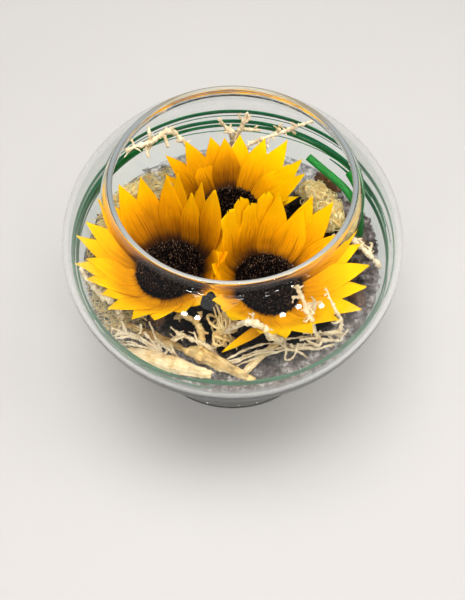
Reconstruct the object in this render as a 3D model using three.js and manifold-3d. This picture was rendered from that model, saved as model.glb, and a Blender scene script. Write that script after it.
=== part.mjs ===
// Three preserved sunflowers bedded in dark bark soil inside a footed, clear glass bowl,
// with wound grass blades, bleached twigs, driftwood, a vine tangle, moss and bark.
// Millimetres, +Z up. The origin is the centre of the foot's resting ring.
import * as THREE from "three";
import { mergeVertices } from "three/addons/utils/BufferGeometryUtils.js";
import Module from "manifold-3d";

const wasm = await Module();
wasm.setup();

// Driving sizes of the bowl
const BOWL_RADIUS = 100;
const WALL = 3;
const BELLY_HEIGHT = 107;
const OUTER_BOTTOM = 20;
const INNER_BOTTOM = 26;
const OUTER_SHOULDER = 72;
const BELLY_POWER = 1.8;
const NECK_ANGLE = 45.5;
const LIP_BEAD = 1.6;
const LIP_CENTRE_RADIUS = 66.9;
const LIP_CENTRE_HEIGHT = 163.4;
const FOOT_RADIUS = 60;
const FOOT_RING_INNER = 50;
const FOOT_HOLLOW = 3.4;
const FOOT_EDGE = 1.4;
const STEM_RADIUS = 27;
const STEM_HEIGHT = 13;
const GLASS_SEGMENTS = 32;

// Driving sizes of the soil, and the gaps that lie between touching pieces
const SOIL_HEIGHT = 83;
const SOIL_EDGE_RISE = 2.2;
const SOIL_WALL_GAP = 0.8;
const SOIL_BANDS = 6;
const SEAT_GAP = 0.4;
const FACE_GAP = 0.3;

// Driving sizes of the flowers. A head leans by an angle towards a direction, in degrees.
// share is how far its petals may pass the middle between two heads.
const FLOWERS = [
  { name: "left", at: [-37, -16, 98], lean: 10, towards: 170, disc: 18.6, length: 41, share: 3, seed: 11 },
  { name: "right", at: [21, -26, 98], lean: 11, towards: -15, disc: 18.6, length: 43, share: 3, seed: 37 },
  { name: "back", at: [-1, 28, 98], lean: 7, towards: 90, disc: 16.4, length: 38.5, share: -3, seed: 71 },
];
const PETALS_PER_LAYER = 12;
const PETAL_THICKNESS = 0.8;
const PETAL_STATIONS = [0, 0.35, 0.7, 1];
const PETAL_HALF_WIDTHS = [4.2, 7.8, 6.9, 0.6];
const PETAL_CUP = 0.13;
const PETAL_STEPS = 20;
const PETAL_CLEARANCE = 1;
const PETAL_WALL_GAP = 5.5;
const INNER_LIFT = 49;
const OUTER_LIFT = 42;
const LAYER_LIFT = 6;
const RING_DEPTH = 5;
const STEM_LENGTH = 38;
const BRACTS = 7;

// Driving sizes of the grass and of the vine
const GRASS_THICKNESS = 0.8;
const GRASS_WALL_GAP = 1.2;
const GRASS_SPACING = 1.3;
const GRASS_STEP = 10;
const VINE_RADIUS = 1.1;
const VINE_STEPS = 9;

const COLOURS = {
  glass: { color: 0xdfe9e6, roughness: 0.02, metalness: 0, transparent: true, opacity: 0.3 },
  soil: { color: 0x2a1d15, roughness: 0.9, metalness: 0 },
  petal: { color: 0xfbb606, roughness: 0.6, metalness: 0 },
  disc: { color: 0x1d120c, roughness: 0.95, metalness: 0 },
  calyx: { color: 0x5c6a2c, roughness: 0.8, metalness: 0 },
  grass: { color: 0x0c6b2c, roughness: 0.45, metalness: 0 },
  twig: { color: 0xe3cfa3, roughness: 0.85, metalness: 0 },
  moss: { color: 0xe6c88a, roughness: 0.95, metalness: 0 },
  bark: { color: 0x4a3222, roughness: 0.9, metalness: 0 },
};

const part = new THREE.Group();
const vec = (x, y, z) => new THREE.Vector3(x, y, z);

// A repeatable draw between 0 and 1 for a whole number.
function draw(n) {
  const v = Math.sin(n * 12.9898 + 4.1414) * 43758.5453;
  return v - Math.floor(v);
}

function easeIn(t) {
  const c = Math.min(1, Math.max(0, t));
  return c * c * (3 - 2 * c);
}

// Building blocks: solids, skins, blades and sticks

function solidOf(positions, triangles) {
  const indices = triangles.slice();
  let volume = 0;
  for (let i = 0; i < indices.length; i += 3) {
    const [a, b, c] = [0, 1, 2].map((k) => positions[indices[i + k]]);
    volume += a.dot(b.clone().cross(c));
  }
  if (volume < 0) {
    for (let i = 0; i < indices.length; i += 3) {
      [indices[i + 1], indices[i + 2]] = [indices[i + 2], indices[i + 1]];
    }
  }
  const vertProperties = new Float32Array(positions.flatMap((p) => [p.x, p.y, p.z]));
  const mesh = new wasm.Mesh({ numProp: 3, vertProperties, triVerts: new Uint32Array(indices) });
  return new wasm.Manifold(mesh);
}

function solidOfGeometry(geometry) {
  const bare = geometry.clone();
  bare.deleteAttribute("normal");
  bare.deleteAttribute("uv");
  const merged = mergeVertices(bare, 1e-4);
  const at = merged.getAttribute("position");
  const positions = [];
  for (let i = 0; i < at.count; i += 1) positions.push(vec(at.getX(i), at.getY(i), at.getZ(i)));
  return solidOf(positions, Array.from(merged.index.array));
}

function addPiece(name, solid, colour) {
  const mesh = solid.getMesh();
  const geometry = new THREE.BufferGeometry();
  const positions = new Float32Array(mesh.numVert * 3);
  for (let i = 0; i < mesh.numVert; i += 1) {
    positions.set(mesh.vertProperties.subarray(i * mesh.numProp, i * mesh.numProp + 3), i * 3);
  }
  geometry.setAttribute("position", new THREE.BufferAttribute(positions, 3));
  geometry.setIndex(new THREE.BufferAttribute(mesh.triVerts, 1));
  geometry.computeVertexNormals();
  const piece = new THREE.Mesh(geometry, new THREE.MeshStandardMaterial(COLOURS[colour]));
  piece.name = name;
  part.add(piece);
}

// A closed skin over rings of points, with a centre point closing each end.
function skin(rings, start, end) {
  const count = rings[0].length;
  const positions = [start, ...rings.flat(), end];
  const last = positions.length - 1;
  const triangles = [];
  for (let i = 0; i < count; i += 1) {
    const next = (i + 1) % count;
    triangles.push(0, 1 + next, 1 + i);
    for (let j = 0; j < rings.length - 1; j += 1) {
      const low = 1 + j * count;
      const high = low + count;
      triangles.push(low + i, low + next, high + next);
      triangles.push(low + i, high + next, high + i);
    }
    const top = 1 + (rings.length - 1) * count;
    triangles.push(last, top + i, top + next);
  }
  return solidOf(positions, triangles);
}

// A thin blade from a grid of surface points and the direction its back face lies in.
// Both faces are split along the same diagonals.
function blade(grid, backward, thickness) {
  const columns = grid[0].length;
  const front = grid.flat();
  const back = front.map((p, i) => p.clone().addScaledVector(backward.flat()[i], thickness));
  const positions = [...front, ...back];
  const shift = front.length;
  const triangles = [];
  const wall = (a, b) => triangles.push(a, b + shift, a + shift, a, b, b + shift);
  for (let j = 0; j < grid.length - 1; j += 1) {
    for (let i = 0; i < columns - 1; i += 1) {
      const a = j * columns + i;
      const d = a + columns;
      triangles.push(a, a + 1, d + 1, a, d + 1, d);
      triangles.push(a + shift, d + 1 + shift, a + 1 + shift, a + shift, d + shift, d + 1 + shift);
    }
    wall(j * columns, (j + 1) * columns);
    wall((j + 2) * columns - 1, (j + 1) * columns - 1);
  }
  for (let i = 0; i < columns - 1; i += 1) {
    wall(i + 1, i);
    wall((grid.length - 1) * columns + i, (grid.length - 1) * columns + i + 1);
  }
  return solidOf(positions, triangles);
}

// Rings of points round a line of spots, carried along it without twisting.
function ringsAlong(spots, radii, sides, closed) {
  const count = spots.length;
  const spot = (j) => (closed ? spots[(j + count) % count] : spots[Math.min(count - 1, Math.max(0, j))]);
  let across = vec(0.64, -0.73, 0.24);
  return spots.map((centre, j) => {
    const along = spot(j + 1).clone().sub(spot(j - 1)).normalize();
    across = across.clone().addScaledVector(along, -across.dot(along)).normalize();
    const up = along.clone().cross(across);
    return Array.from({ length: sides }, (_, i) => {
      const angle = (2 * Math.PI * i) / sides;
      return centre
        .clone()
        .addScaledVector(across, radii[j] * Math.cos(angle))
        .addScaledVector(up, radii[j] * Math.sin(angle));
    });
  });
}

// A round stick along hand-set points, given as [x, y, z, radius].
function stick(points, sides, grow = 0) {
  const spots = points.map(([x, y, z]) => vec(x, y, z));
  const radii = points.map((p) => p[3] + grow);
  const tip = (from, to, reach) => from.clone().addScaledVector(to.clone().sub(from).normalize(), -reach);
  const start = tip(spots[0], spots[1], radii[0] * 0.5 + grow);
  const end = tip(spots.at(-1), spots.at(-2), radii.at(-1) * 0.6 + grow);
  return skin(ringsAlong(spots, radii, sides, false), start, end);
}

function fuse(solids) {
  return solids.reduce((whole, solid) => whole.add(solid));
}

// The bowl

// The bowl's radius at a height, for its outer or inner surface.
function bellyRadius(z, radius, bottom, shoulder) {
  if (z < BELLY_HEIGHT) {
    const depth = (BELLY_HEIGHT - z) / (BELLY_HEIGHT - bottom);
    return radius * (1 - Math.min(1, depth) ** BELLY_POWER) ** (1 / BELLY_POWER);
  }
  return radius * Math.sqrt(1 - ((z - BELLY_HEIGHT) / shoulder) ** 2);
}

function innerRadius(z) {
  return bellyRadius(z, BOWL_RADIUS - WALL, INNER_BOTTOM, OUTER_SHOULDER - WALL);
}

// Points along one surface of the bowl from a low to a high turn angle, -90 at the bottom.
function bellyPoints(radius, bottom, shoulder, from, to, steps) {
  return Array.from({ length: steps + 1 }, (_, i) => {
    const angle = THREE.MathUtils.degToRad(from + ((to - from) * i) / steps);
    const depth = angle < 0 ? BELLY_HEIGHT - bottom : shoulder;
    const z = BELLY_HEIGHT + depth * Math.sin(angle);
    return new THREE.Vector2(bellyRadius(z, radius, bottom, shoulder), z);
  });
}

function innerPoints(from, to, steps) {
  return bellyPoints(BOWL_RADIUS - WALL, INNER_BOTTOM, OUTER_SHOULDER - WALL, from, to, steps);
}

function makeBowl() {
  const foot = [
    new THREE.Vector2(0, FOOT_HOLLOW),
    new THREE.Vector2(FOOT_RING_INNER - 8, FOOT_HOLLOW - 0.8),
    new THREE.Vector2(FOOT_RING_INNER, 0),
    new THREE.Vector2(FOOT_RADIUS - FOOT_EDGE, 0),
    new THREE.Vector2(FOOT_RADIUS, FOOT_EDGE),
  ];
  const flare = new THREE.CubicBezierCurve(
    new THREE.Vector2(FOOT_RADIUS - FOOT_EDGE / 2, 2 * FOOT_EDGE),
    new THREE.Vector2(STEM_RADIUS + 11, FOOT_HOLLOW + 1.2),
    new THREE.Vector2(STEM_RADIUS, STEM_HEIGHT - 6),
    new THREE.Vector2(STEM_RADIUS, STEM_HEIGHT),
  );
  const outside = bellyPoints(BOWL_RADIUS, OUTER_BOTTOM, OUTER_SHOULDER, -66, NECK_ANGLE, 10);
  const shoulder = new THREE.QuadraticBezierCurve(
    new THREE.Vector2(STEM_RADIUS, STEM_HEIGHT),
    new THREE.Vector2(STEM_RADIUS + 0.5, STEM_HEIGHT + 9),
    outside[0],
  );
  const lip = Array.from({ length: 5 }, (_, i) => {
    const angle = THREE.MathUtils.degToRad(-20 + (220 * i) / 4);
    const r = LIP_CENTRE_RADIUS + LIP_BEAD * Math.cos(angle);
    return new THREE.Vector2(r, LIP_CENTRE_HEIGHT + LIP_BEAD * Math.sin(angle));
  });
  const inside = innerPoints(-90, NECK_ANGLE + 1, 11).reverse();
  inside[inside.length - 1].set(0, INNER_BOTTOM);
  const profile = [...foot, ...flare.getPoints(3), ...shoulder.getPoints(2).slice(1), ...outside.slice(1)];
  profile.push(...lip, ...inside);
  return solidOfGeometry(new THREE.LatheGeometry(profile, GLASS_SEGMENTS).rotateX(Math.PI / 2));
}

// The flowers

for (const flower of FLOWERS) {
  const turn = THREE.MathUtils.degToRad(flower.towards);
  flower.frame = new THREE.Matrix4()
    .makeTranslation(...flower.at)
    .multiply(new THREE.Matrix4().makeRotationZ(turn))
    .multiply(new THREE.Matrix4().makeRotationY(THREE.MathUtils.degToRad(flower.lean)))
    .multiply(new THREE.Matrix4().makeRotationZ(-turn));
}

// True where a petal's point has room: on its own side between two flowers, clear of the glass.
function hasRoom(point, flower) {
  const own = vec(...flower.at);
  const crowded = FLOWERS.some((other) => {
    if (other === flower) return false;
    const across = vec(...other.at).sub(own).setZ(0);
    const reach = across.length() / 2 + (flower.share - other.share) / 2 - PETAL_CLEARANCE;
    return point.clone().sub(own).dot(across.normalize()) > reach;
  });
  return !crowded && Math.hypot(point.x, point.y) < innerRadius(point.z) - PETAL_WALL_GAP;
}

// A petal's surface in the flower's frame: a grid of points with the way its back face lies.
function petalSurface(flower, layer, index, lift) {
  const key = flower.seed + layer * 50 + index;
  const azimuth = (2 * Math.PI * (index + 0.5 * layer + 0.24 * (draw(key) - 0.5))) / PETALS_PER_LAYER;
  const length = flower.length * (0.93 + 0.14 * draw(key + 200)) * (layer ? 1 : 0.95);
  const start = vec(flower.disc - 1.9 + 0.4 * layer, 0, -1.5 - 1.4 * layer);
  const spine = [start];
  const tangents = [];
  for (let i = 0; i <= PETAL_STEPS; i += 1) {
    const s = i / PETAL_STEPS;
    const angle = THREE.MathUtils.degToRad(10 + (lift - 10) * easeIn(s / 0.3) - 7 * s * s);
    tangents.push(vec(Math.cos(angle), 0, Math.sin(angle)));
    spine.push(spine[i].clone().addScaledVector(tangents[i], length / PETAL_STEPS));
  }
  const grid = [];
  const backward = [];
  PETAL_STATIONS.forEach((s, j) => {
    const i = Math.round(s * PETAL_STEPS);
    const centre = spine[i];
    const normal = vec(-tangents[i].z, 0, tangents[i].x);
    const room = (Math.PI * centre.x) / PETALS_PER_LAYER - 0.15;
    const half = Math.min(PETAL_HALF_WIDTHS[j], room);
    const cup = j === 0 ? 0 : PETAL_CUP * half;
    grid.push(
      [-1, 0, 1].map((side) =>
        centre
          .clone()
          .add(vec(0, side * half, 0))
          .addScaledVector(normal, side === 0 ? 0 : cup)
          .applyAxisAngle(vec(0, 0, 1), azimuth),
      ),
    );
    backward.push([0, 0, 0].map(() => normal.clone().applyAxisAngle(vec(0, 0, 1), azimuth).negate()));
  });
  return { grid, backward };
}

// The least lift from a given one, in degrees, at which the whole petal has room.
function petalLift(flower, layer, index, least) {
  for (let lift = least; lift < 90; lift += 2) {
    const { grid } = petalSurface(flower, layer, index, lift);
    const clear = grid.flat().every((p) => hasRoom(p.clone().applyMatrix4(flower.frame), flower));
    if (clear) return lift;
  }
  return 90;
}

// The lifts of the outer layer, then of the inner one, which stays above its outer neighbours.
function petalLifts(flower) {
  const indices = Array.from({ length: PETALS_PER_LAYER }, (_, i) => i);
  const vary = (layer, i) => 6 * (draw(flower.seed + layer * 50 + i + 400) - 0.5);
  const outer = indices.map((i) => petalLift(flower, 1, i, OUTER_LIFT + vary(1, i)));
  const inner = indices.map((i) => {
    const before = outer[(i + PETALS_PER_LAYER - 1) % PETALS_PER_LAYER];
    const least = Math.max(INNER_LIFT + vary(0, i), before + LAYER_LIFT, outer[i] + LAYER_LIFT);
    return petalLift(flower, 0, i, least);
  });
  return [inner, outer];
}

function inFrame(solid, frame) {
  return solid.transform(frame.toArray());
}

function makePetals(flower) {
  const outer = flower.disc + 1.4;
  const inner = flower.disc / 2;
  const section = [
    [inner, -RING_DEPTH],
    [outer - 3, -RING_DEPTH],
    [outer, -3.4],
    [outer - 0.6, -FACE_GAP],
    [inner, -FACE_GAP],
    [inner, -RING_DEPTH],
  ].map(([r, z]) => new THREE.Vector2(r, z));
  const ring = solidOfGeometry(new THREE.LatheGeometry(section, 16).rotateX(Math.PI / 2));
  const petals = [ring];
  petalLifts(flower).forEach((lifts, layer) => {
    lifts.forEach((lift, index) => {
      const { grid, backward } = petalSurface(flower, layer, index, lift);
      petals.push(blade(grid, backward, PETAL_THICKNESS));
    });
  });
  return inFrame(fuse(petals), flower.frame);
}

// The seed disc, a low dome under a raised net of florets.
function makeDisc(flower) {
  const sectors = 26;
  const bands = 6;
  const rim = flower.disc;
  const ringAt = (r, height) =>
    Array.from({ length: sectors }, (_, i) => {
      const angle = (2 * Math.PI * i) / sectors;
      return vec(r * Math.cos(angle), r * Math.sin(angle), height(i));
    });
  const rings = [ringAt(rim - 1.2, () => 0)];
  for (let j = 0; j <= bands; j += 1) {
    const r = rim * (1 - j / (bands + 1));
    const dome = 2.2 + 4.2 * Math.sqrt(1 - (r / (rim + 0.5)) ** 2) - 1.2 * Math.exp(-((r / 5) ** 2));
    rings.push(ringAt(r, (i) => dome + 0.4 * Math.cos(Math.PI * (i + j))));
  }
  return inFrame(skin(rings, vec(0, 0, 0), vec(0, 0, 5.4)), flower.frame);
}

// The green underside and cut stem. grow widens it, for the hole that it stands in.
function calyxBody(flower, grow) {
  const rim = flower.disc - 2.4;
  const section = [
    [0, -RING_DEPTH - FACE_GAP],
    [rim + grow, -RING_DEPTH - FACE_GAP],
    [rim + 0.9 + grow, -6.2],
    [rim - 3 + grow, -8.8 - grow],
    [6.5 + grow, -11.5 - grow],
    [4 + grow, -15],
    [3.8 + grow, -STEM_LENGTH - grow],
    [0, -STEM_LENGTH - grow],
  ].map(([r, z]) => new THREE.Vector2(r, z));
  return solidOfGeometry(new THREE.LatheGeometry(section, 10).rotateX(Math.PI / 2));
}

function makeCalyx(flower) {
  const solids = [calyxBody(flower, 0)];
  for (let i = 0; i < BRACTS; i += 1) {
    const azimuth = (2 * Math.PI * (i + 0.3 * draw(flower.seed + i))) / BRACTS;
    const reach = 12 + 3 * draw(flower.seed + i + 60);
    const grid = [3.0, 3.2, 0.4].map((half, j) =>
      [-1, 1].map((side) => {
        const s = j / 2;
        const p = vec(flower.disc - 4.4 + reach * s, side * half, -6.1 + 3.2 * s * s);
        return p.applyAxisAngle(vec(0, 0, 1), azimuth);
      }),
    );
    const backward = grid.map((row) => row.map(() => vec(0, 0, -1)));
    solids.push(blade(grid, backward, PETAL_THICKNESS));
  }
  return inFrame(fuse(solids), flower.frame);
}

// The grass, wound round inside the glass

// Each blade: where it starts and ends round the bowl in degrees, its heights there and
// midway, its width, and how many blades deep it lies from the glass.
const GRASS = [
  { from: 206, to: -24, heights: [101, 112, 105], width: 2.4, depth: 0 },
  { from: 214, to: 8, heights: [103, 104.5, 101], width: 3.4, depth: 1 },
  { from: 172, to: 24, heights: [98, 99.5, 97.5], width: 2.6, depth: 0 },
  { from: 262, to: 132, heights: [106, 100.5, 108.5], width: 3.6, depth: 2 },
  { from: 48, to: -100, heights: [98, 100.5, 108], width: 3.6, depth: 2 },
  { from: -8, to: -140, heights: [97, 109, 101], width: 2.8, depth: 1 },
  { from: -96, to: -148, heights: [104.5, 103, 97], width: 2.6, depth: 0 },
];
function makeGrass(strand) {
  const steps = Math.ceil(Math.abs(strand.to - strand.from) / GRASS_STEP);
  const grid = [];
  const backward = [];
  for (let j = 0; j <= steps; j += 1) {
    const s = j / steps;
    const angle = THREE.MathUtils.degToRad(strand.from + (strand.to - strand.from) * s);
    const [a, b, c] = strand.heights;
    const z = a * (1 - s) * (1 - 2 * s) + b * 4 * s * (1 - s) + c * s * (2 * s - 1);
    const half = (strand.width / 2) * Math.min(1, 0.45 + 5 * s, 0.45 + 5 * (1 - s));
    const inset = GRASS_WALL_GAP + strand.depth * GRASS_SPACING;
    const out = vec(Math.cos(angle), Math.sin(angle), 0);
    grid.push(
      [-1, 1].map((side) => {
        const height = z + side * half;
        return out.clone().multiplyScalar(innerRadius(height) - inset).setZ(height);
      }),
    );
    backward.push([out.clone().negate(), out.clone().negate()]);
  }
  return blade(grid, backward, GRASS_THICKNESS);
}

// A cut blade that stands in the soil clear of the glass, as a strip along hand-set points.
function makeGrassEnd({ points, width }, grow) {
  const spots = points.map((p) => vec(...p));
  const count = spots.length;
  const side = spots.at(-1).clone().sub(spots[0]).cross(vec(0, 0, 1)).normalize();
  const grid = spots.map((spot, j) => {
    const along = spots[Math.min(count - 1, j + 1)].clone().sub(spots[Math.max(0, j - 1)]).normalize();
    const tall = side.clone().cross(along).normalize();
    const half = width / 2 + grow;
    const face = spot.clone().addScaledVector(side, -grow);
    return [-1, 1].map((end) => face.clone().addScaledVector(tall, end * half));
  });
  return blade(grid, grid.map(() => [side, side]), GRASS_THICKNESS + 2 * grow);
}

const GRASS_ENDS = [
  {
    points: [
      [47, 62, 109], [55, 54, 107], [63, 45, 103], [70, 36, 96], [74, 30, 88], [75, 27, 80],
    ],
    width: 4.2,
  },
  { points: [[71, 49, 111], [76, 41, 108], [80, 33, 101], [82, 26, 91], [82, 23, 81]], width: 4 },
];

// Twigs, driftwood and the vine tangle

// Sprays of bleached twigs. Each has a main stick and side twigs that leave it at a share
// of its length: [share, dx, dy, dz, radius].
const SPRAYS = {
  back_left: {
    main: [
      [-20, 57, 73, 2.1], [-24, 63, 92, 2.2], [-36, 74, 112, 2.1], [-49, 67, 111, 1.9],
      [-60, 57, 112, 1.5], [-70, 50, 113, 1],
    ],
    side: [
      [0.4, -4, 5, 7, 1.2], [0.55, -3, -6, -5, 1.2], [0.7, -4, 2, 8, 1.1], [0.72, 2, -6, -4, 1.1],
      [0.88, -3, 5, 4, 0.9],
    ],
  },
  back_centre: {
    main: [
      [-6, 70, 74, 1.8], [-5, 76, 94, 1.9], [2, 80, 106, 1.9], [7, 82, 115, 1.6],
      [9, 82, 126, 0.9],
    ],
    side: [
      [0.45, -11, 2, 12, 1.3], [0.66, 12, -2, 1, 1.3], [0.78, 4, 1, 6, 0.9], [0.8, -4, 1, 7, 0.9],
    ],
  },
  back_right: {
    main: [
      [16, 66, 74, 1.6], [20, 72, 96, 1.6], [29, 77, 102, 1.5], [41, 73, 107, 2],
      [49, 67, 110, 1.7], [58, 60, 119, 0.9],
    ],
    side: [
      [0.5, 3, -5, -3, 1.2], [0.62, 1, 3, 6, 1.3], [0.72, 4, 4, -2, 1.2], [0.86, 5, 0, 2, 0.9],
    ],
  },
  left_twig: {
    main: [
      [-62, -46, 76, 1.5], [-64, -44, 90, 1.5], [-72, -37, 95, 1.6], [-80, -28, 98, 1.4],
      [-86, -17, 102, 0.9],
    ],
    side: [[0.5, -2, 3, 6, 1], [0.75, 3, 0, 5, 0.8]],
  },
  right_twig: {
    main: [
      [61, 18, 76, 1.6], [66, 15, 91, 1.8], [73, 7, 95, 2.2], [80, 0, 97, 2.2], [86, -6, 97, 1.4],
    ],
    side: [[0.6, -5, -4, 4, 1.1], [0.75, 3, 4, 3, 1]],
  },
  front_root: {
    main: [
      [-4, -66, 78, 2.2], [-8, -66, 92, 2.4], [-18, -63, 95, 2], [-26, -60, 96, 1.8],
      [-34, -57, 97, 1.2],
    ],
    side: [
      [0.5, -2, 6, 4, 1.3], [0.7, -7, -5, 3, 1.2], [0.75, -7, 4, 5, 1.1], [0.85, -6, -4, 5, 0.9],
    ],
  },
  front_branch: {
    main: [
      [-34, -40, 78, 2], [-30, -45, 91, 2], [-20, -48, 94, 2.2], [-16, -55, 93, 2.2],
      [-17, -60, 84, 2.2],
    ],
    side: [[0.55, 3, 6, 4, 1.2]],
  },
  front_fork: {
    main: [
      [7, -61, 78, 1.8], [8, -61, 92, 2], [14, -58, 94, 2.2], [23, -61, 94, 2], [32, -66, 93, 1.4],
    ],
    side: [[0.5, 4, -8, 3, 1.3], [0.7, 8, 3, 3, 1.2], [0.85, 6, -1, 5, 1]],
  },
  front_fan: {
    main: [[-56, -54, 77, 1.8], [-57, -54, 94, 1.8], [-63, -53, 99, 1.5], [-70, -48, 102, 1]],
    side: [[0.4, 4, -3, 12, 1.1], [0.5, -9, -6, 6, 1], [0.6, -3, 5, 8, 1], [0.75, -6, -5, 3, 0.9]],
  },
  front_twig: {
    main: [[-33, -67.5, 78, 1.2], [-33, -68, 93, 1.3], [-40, -66, 101, 1.2], [-46, -61, 104, 0.9]],
    side: [[0.6, -2, -6, 2, 0.9], [0.8, -5, -2, 4, 0.8]],
  },
  right_coral: {
    main: [
      [47, -64, 76, 1.7], [50, -68, 92, 1.7], [53, -72, 108, 1.6], [48, -69, 122, 1.4],
      [39, -55, 130, 1],
    ],
    side: [
      [0.35, -8, -3, 4, 1.3], [0.55, 5, 3, 8, 1.1], [0.75, -7, -2, 6, 1], [0.88, 6, 4, 5, 0.9],
    ],
  },
  right_loop: {
    main: [
      [62, -49, 76, 1.5], [66, -53, 92, 1.6], [70, -55, 106, 1.5], [67, -50, 119, 1.2],
      [57, -43, 127, 0.8],
    ],
    side: [[0.4, -7, -5, 5, 1], [0.7, 4, 3, 6, 0.9]],
  },
};

const DRIFTWOOD = {
  driftwood_long: [
    [-57, -61, 88, 3], [-50, -66, 88, 3.8], [-40, -72, 88, 4.1], [-27, -76, 88, 4],
    [-15, -78, 88, 3.2],
  ],
  driftwood_bar: [
    [-60, -43, 86, 1.8], [-49, -51, 86.5, 2.3], [-38, -58, 86.5, 2.5], [-28, -63, 86, 2.3],
  ],
  driftwood_short: [[-8, -73, 87, 2.6], [-1, -76, 88, 3.4], [7, -79, 88, 3], [15, -80, 87, 2.2]],
  driftwood_stick: [[13, -72, 87, 1.6], [20, -67, 87, 1.9], [27, -61, 87, 1.8], [34, -55, 87, 1.4]],
};

function pointAlong(points, share) {
  const place = share * (points.length - 1);
  const low = Math.min(points.length - 2, Math.floor(place));
  return points[low].map((v, k) => v + (points[low + 1][k] - v) * (place - low));
}

function spraySolids(spray, grow) {
  const sticks = [stick(spray.main, 5, grow)];
  for (const [share, dx, dy, dz, radius] of spray.side) {
    const [x, y, z] = pointAlong(spray.main, share);
    const bend = [x + dx * 0.55 + dz * 0.08, y + dy * 0.5 - dz * 0.06, z + dz * 0.5, radius];
    sticks.push(stick([[x, y, z, radius], bend, [x + dx, y + dy, z + dz, radius * 0.8]], 4, grow));
  }
  return sticks;
}

// Loops of dried vine that lie over each other, each an ellipse tilted its own way:
// [x, y, z, long half, short half, turn, tilt about X, tilt about Y].
const VINE_LOOPS = [
  [-6, -46, 89, 9, 6, 20, 12, 22],
  [-3, -50, 88, 9, 6, 80, -12, 20],
  [-9, -50, 87, 8, 5, 130, 12, -18],
  [-5, -54, 86, 9, 5, 160, 20, 8],
];

function vineLoop([x, y, z, long, short, turn, tiltX, tiltY], grow) {
  const [a, b, c] = [tiltX, tiltY, turn].map((angle) => THREE.MathUtils.degToRad(angle));
  const euler = new THREE.Euler(a, b, c, "ZYX");
  const centres = Array.from({ length: VINE_STEPS }, (_, i) => {
    const angle = (2 * Math.PI * i) / VINE_STEPS;
    return vec(long * Math.cos(angle), short * Math.sin(angle), 0).applyEuler(euler).add(vec(x, y, z));
  });
  const sides = 4;
  const rings = ringsAlong(centres, centres.map(() => VINE_RADIUS + grow), sides, true);
  const triangles = [];
  rings.forEach((_, j) => {
    const low = j * sides;
    const high = ((j + 1) % VINE_STEPS) * sides;
    for (let k = 0; k < sides; k += 1) {
      const next = (k + 1) % sides;
      triangles.push(low + k, low + next, high + next, low + k, high + next, high + k);
    }
  });
  return solidOf(rings.flat(), triangles);
}

function makeVine(grow) {
  return fuse(VINE_LOOPS.map((loop) => vineLoop(loop, grow)));
}

// Moss, sponge and bark

// Rough lumps: [x, y, z, half length, half width, half height, turn in degrees, roughness].
const LUMPS = {
  moss_right: { at: [56, 40, 87, 23, 10, 10, -60, 1.5], colour: "moss" },
  moss_left_back: { at: [-64, 46, 87, 11, 8, 7, 40, 1.3], colour: "moss" },
  moss_left: { at: [-79, 18, 86, 9, 5, 7, 100, 1.2], colour: "moss" },
  moss_left_front: { at: [-77, -24, 86, 8, 5, 5, 68, 1.2], colour: "moss" },
  bark_right_back: { at: [61, 58, 86, 10, 4, 8, -45, 1.1], colour: "bark" },
  bark_right: { at: [80, 9, 86, 7, 4, 5, -80, 1.0], colour: "bark" },
  bark_middle: { at: [-9, -30, 84, 7, 5, 5, 20, 1.2], colour: "bark" },
  bark_front_right: { at: [74, -26, 86, 9, 5, 5, 110, 1.2], colour: "bark" },
  bark_front_left: { at: [-44, -42, 84, 6, 5, 4, 30, 1.0], colour: "bark" },
};

function lump([x, y, z, long, wide, tall, turn, rough], seed, grow) {
  const sectors = 10;
  const bands = 4;
  const angle = THREE.MathUtils.degToRad(turn);
  const rings = Array.from({ length: bands }, (_, j) => {
    const polar = (Math.PI * (j + 1)) / (bands + 1);
    return Array.from({ length: sectors }, (_, i) => {
      const round = (2 * Math.PI * i) / sectors;
      const bump = grow + rough * (draw(seed + i * 7 + j * 31) - 0.5);
      const p = vec(
        (long + bump) * Math.sin(polar) * Math.cos(round),
        (wide + bump) * Math.sin(polar) * Math.sin(round),
        -(tall + bump) * Math.cos(polar),
      );
      return p.applyAxisAngle(vec(0, 0, 1), angle).add(vec(x, y, z));
    });
  });
  return skin(rings, vec(x, y, z - tall - grow), vec(x, y, z + tall + grow));
}

// The soil bed

function soilTop(x, y) {
  const clumps = 1.2 * Math.sin(x * 0.24 + 1.1) * Math.cos(y * 0.21 - 0.4);
  const slope = 0.9 * Math.sin(x * 0.11 - y * 0.15);
  return SOIL_HEIGHT + clumps + slope + SOIL_EDGE_RISE * easeIn((Math.hypot(x, y) - 60) / 30);
}

function makeSoil() {
  const ringAt = (r, height) =>
    Array.from({ length: GLASS_SEGMENTS }, (_, i) => {
      const angle = (2 * Math.PI * i) / GLASS_SEGMENTS;
      const [x, y] = [r * Math.sin(angle), -r * Math.cos(angle)];
      return vec(x, y, height === null ? soilTop(x, y) : height);
    });
  const rings = innerPoints(-80, -19, 5).map((p) => ringAt(p.x - SOIL_WALL_GAP, p.y + SEAT_GAP));
  const edge = innerRadius(SOIL_HEIGHT) - SOIL_WALL_GAP - 0.2;
  for (let j = 0; j < SOIL_BANDS; j += 1) rings.push(ringAt(edge * (1 - j / SOIL_BANDS), null));
  return skin(rings, vec(0, 0, INNER_BOTTOM + SOIL_WALL_GAP), vec(0, 0, soilTop(0, 0)));
}

// Assembly

let soil = makeSoil();

// Adds a piece that stands or lies in the soil, in a seat that is a little larger than it.
function bed(name, make, colour) {
  soil = soil.subtract(make(SEAT_GAP));
  addPiece(name, make(0), colour);
}

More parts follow.
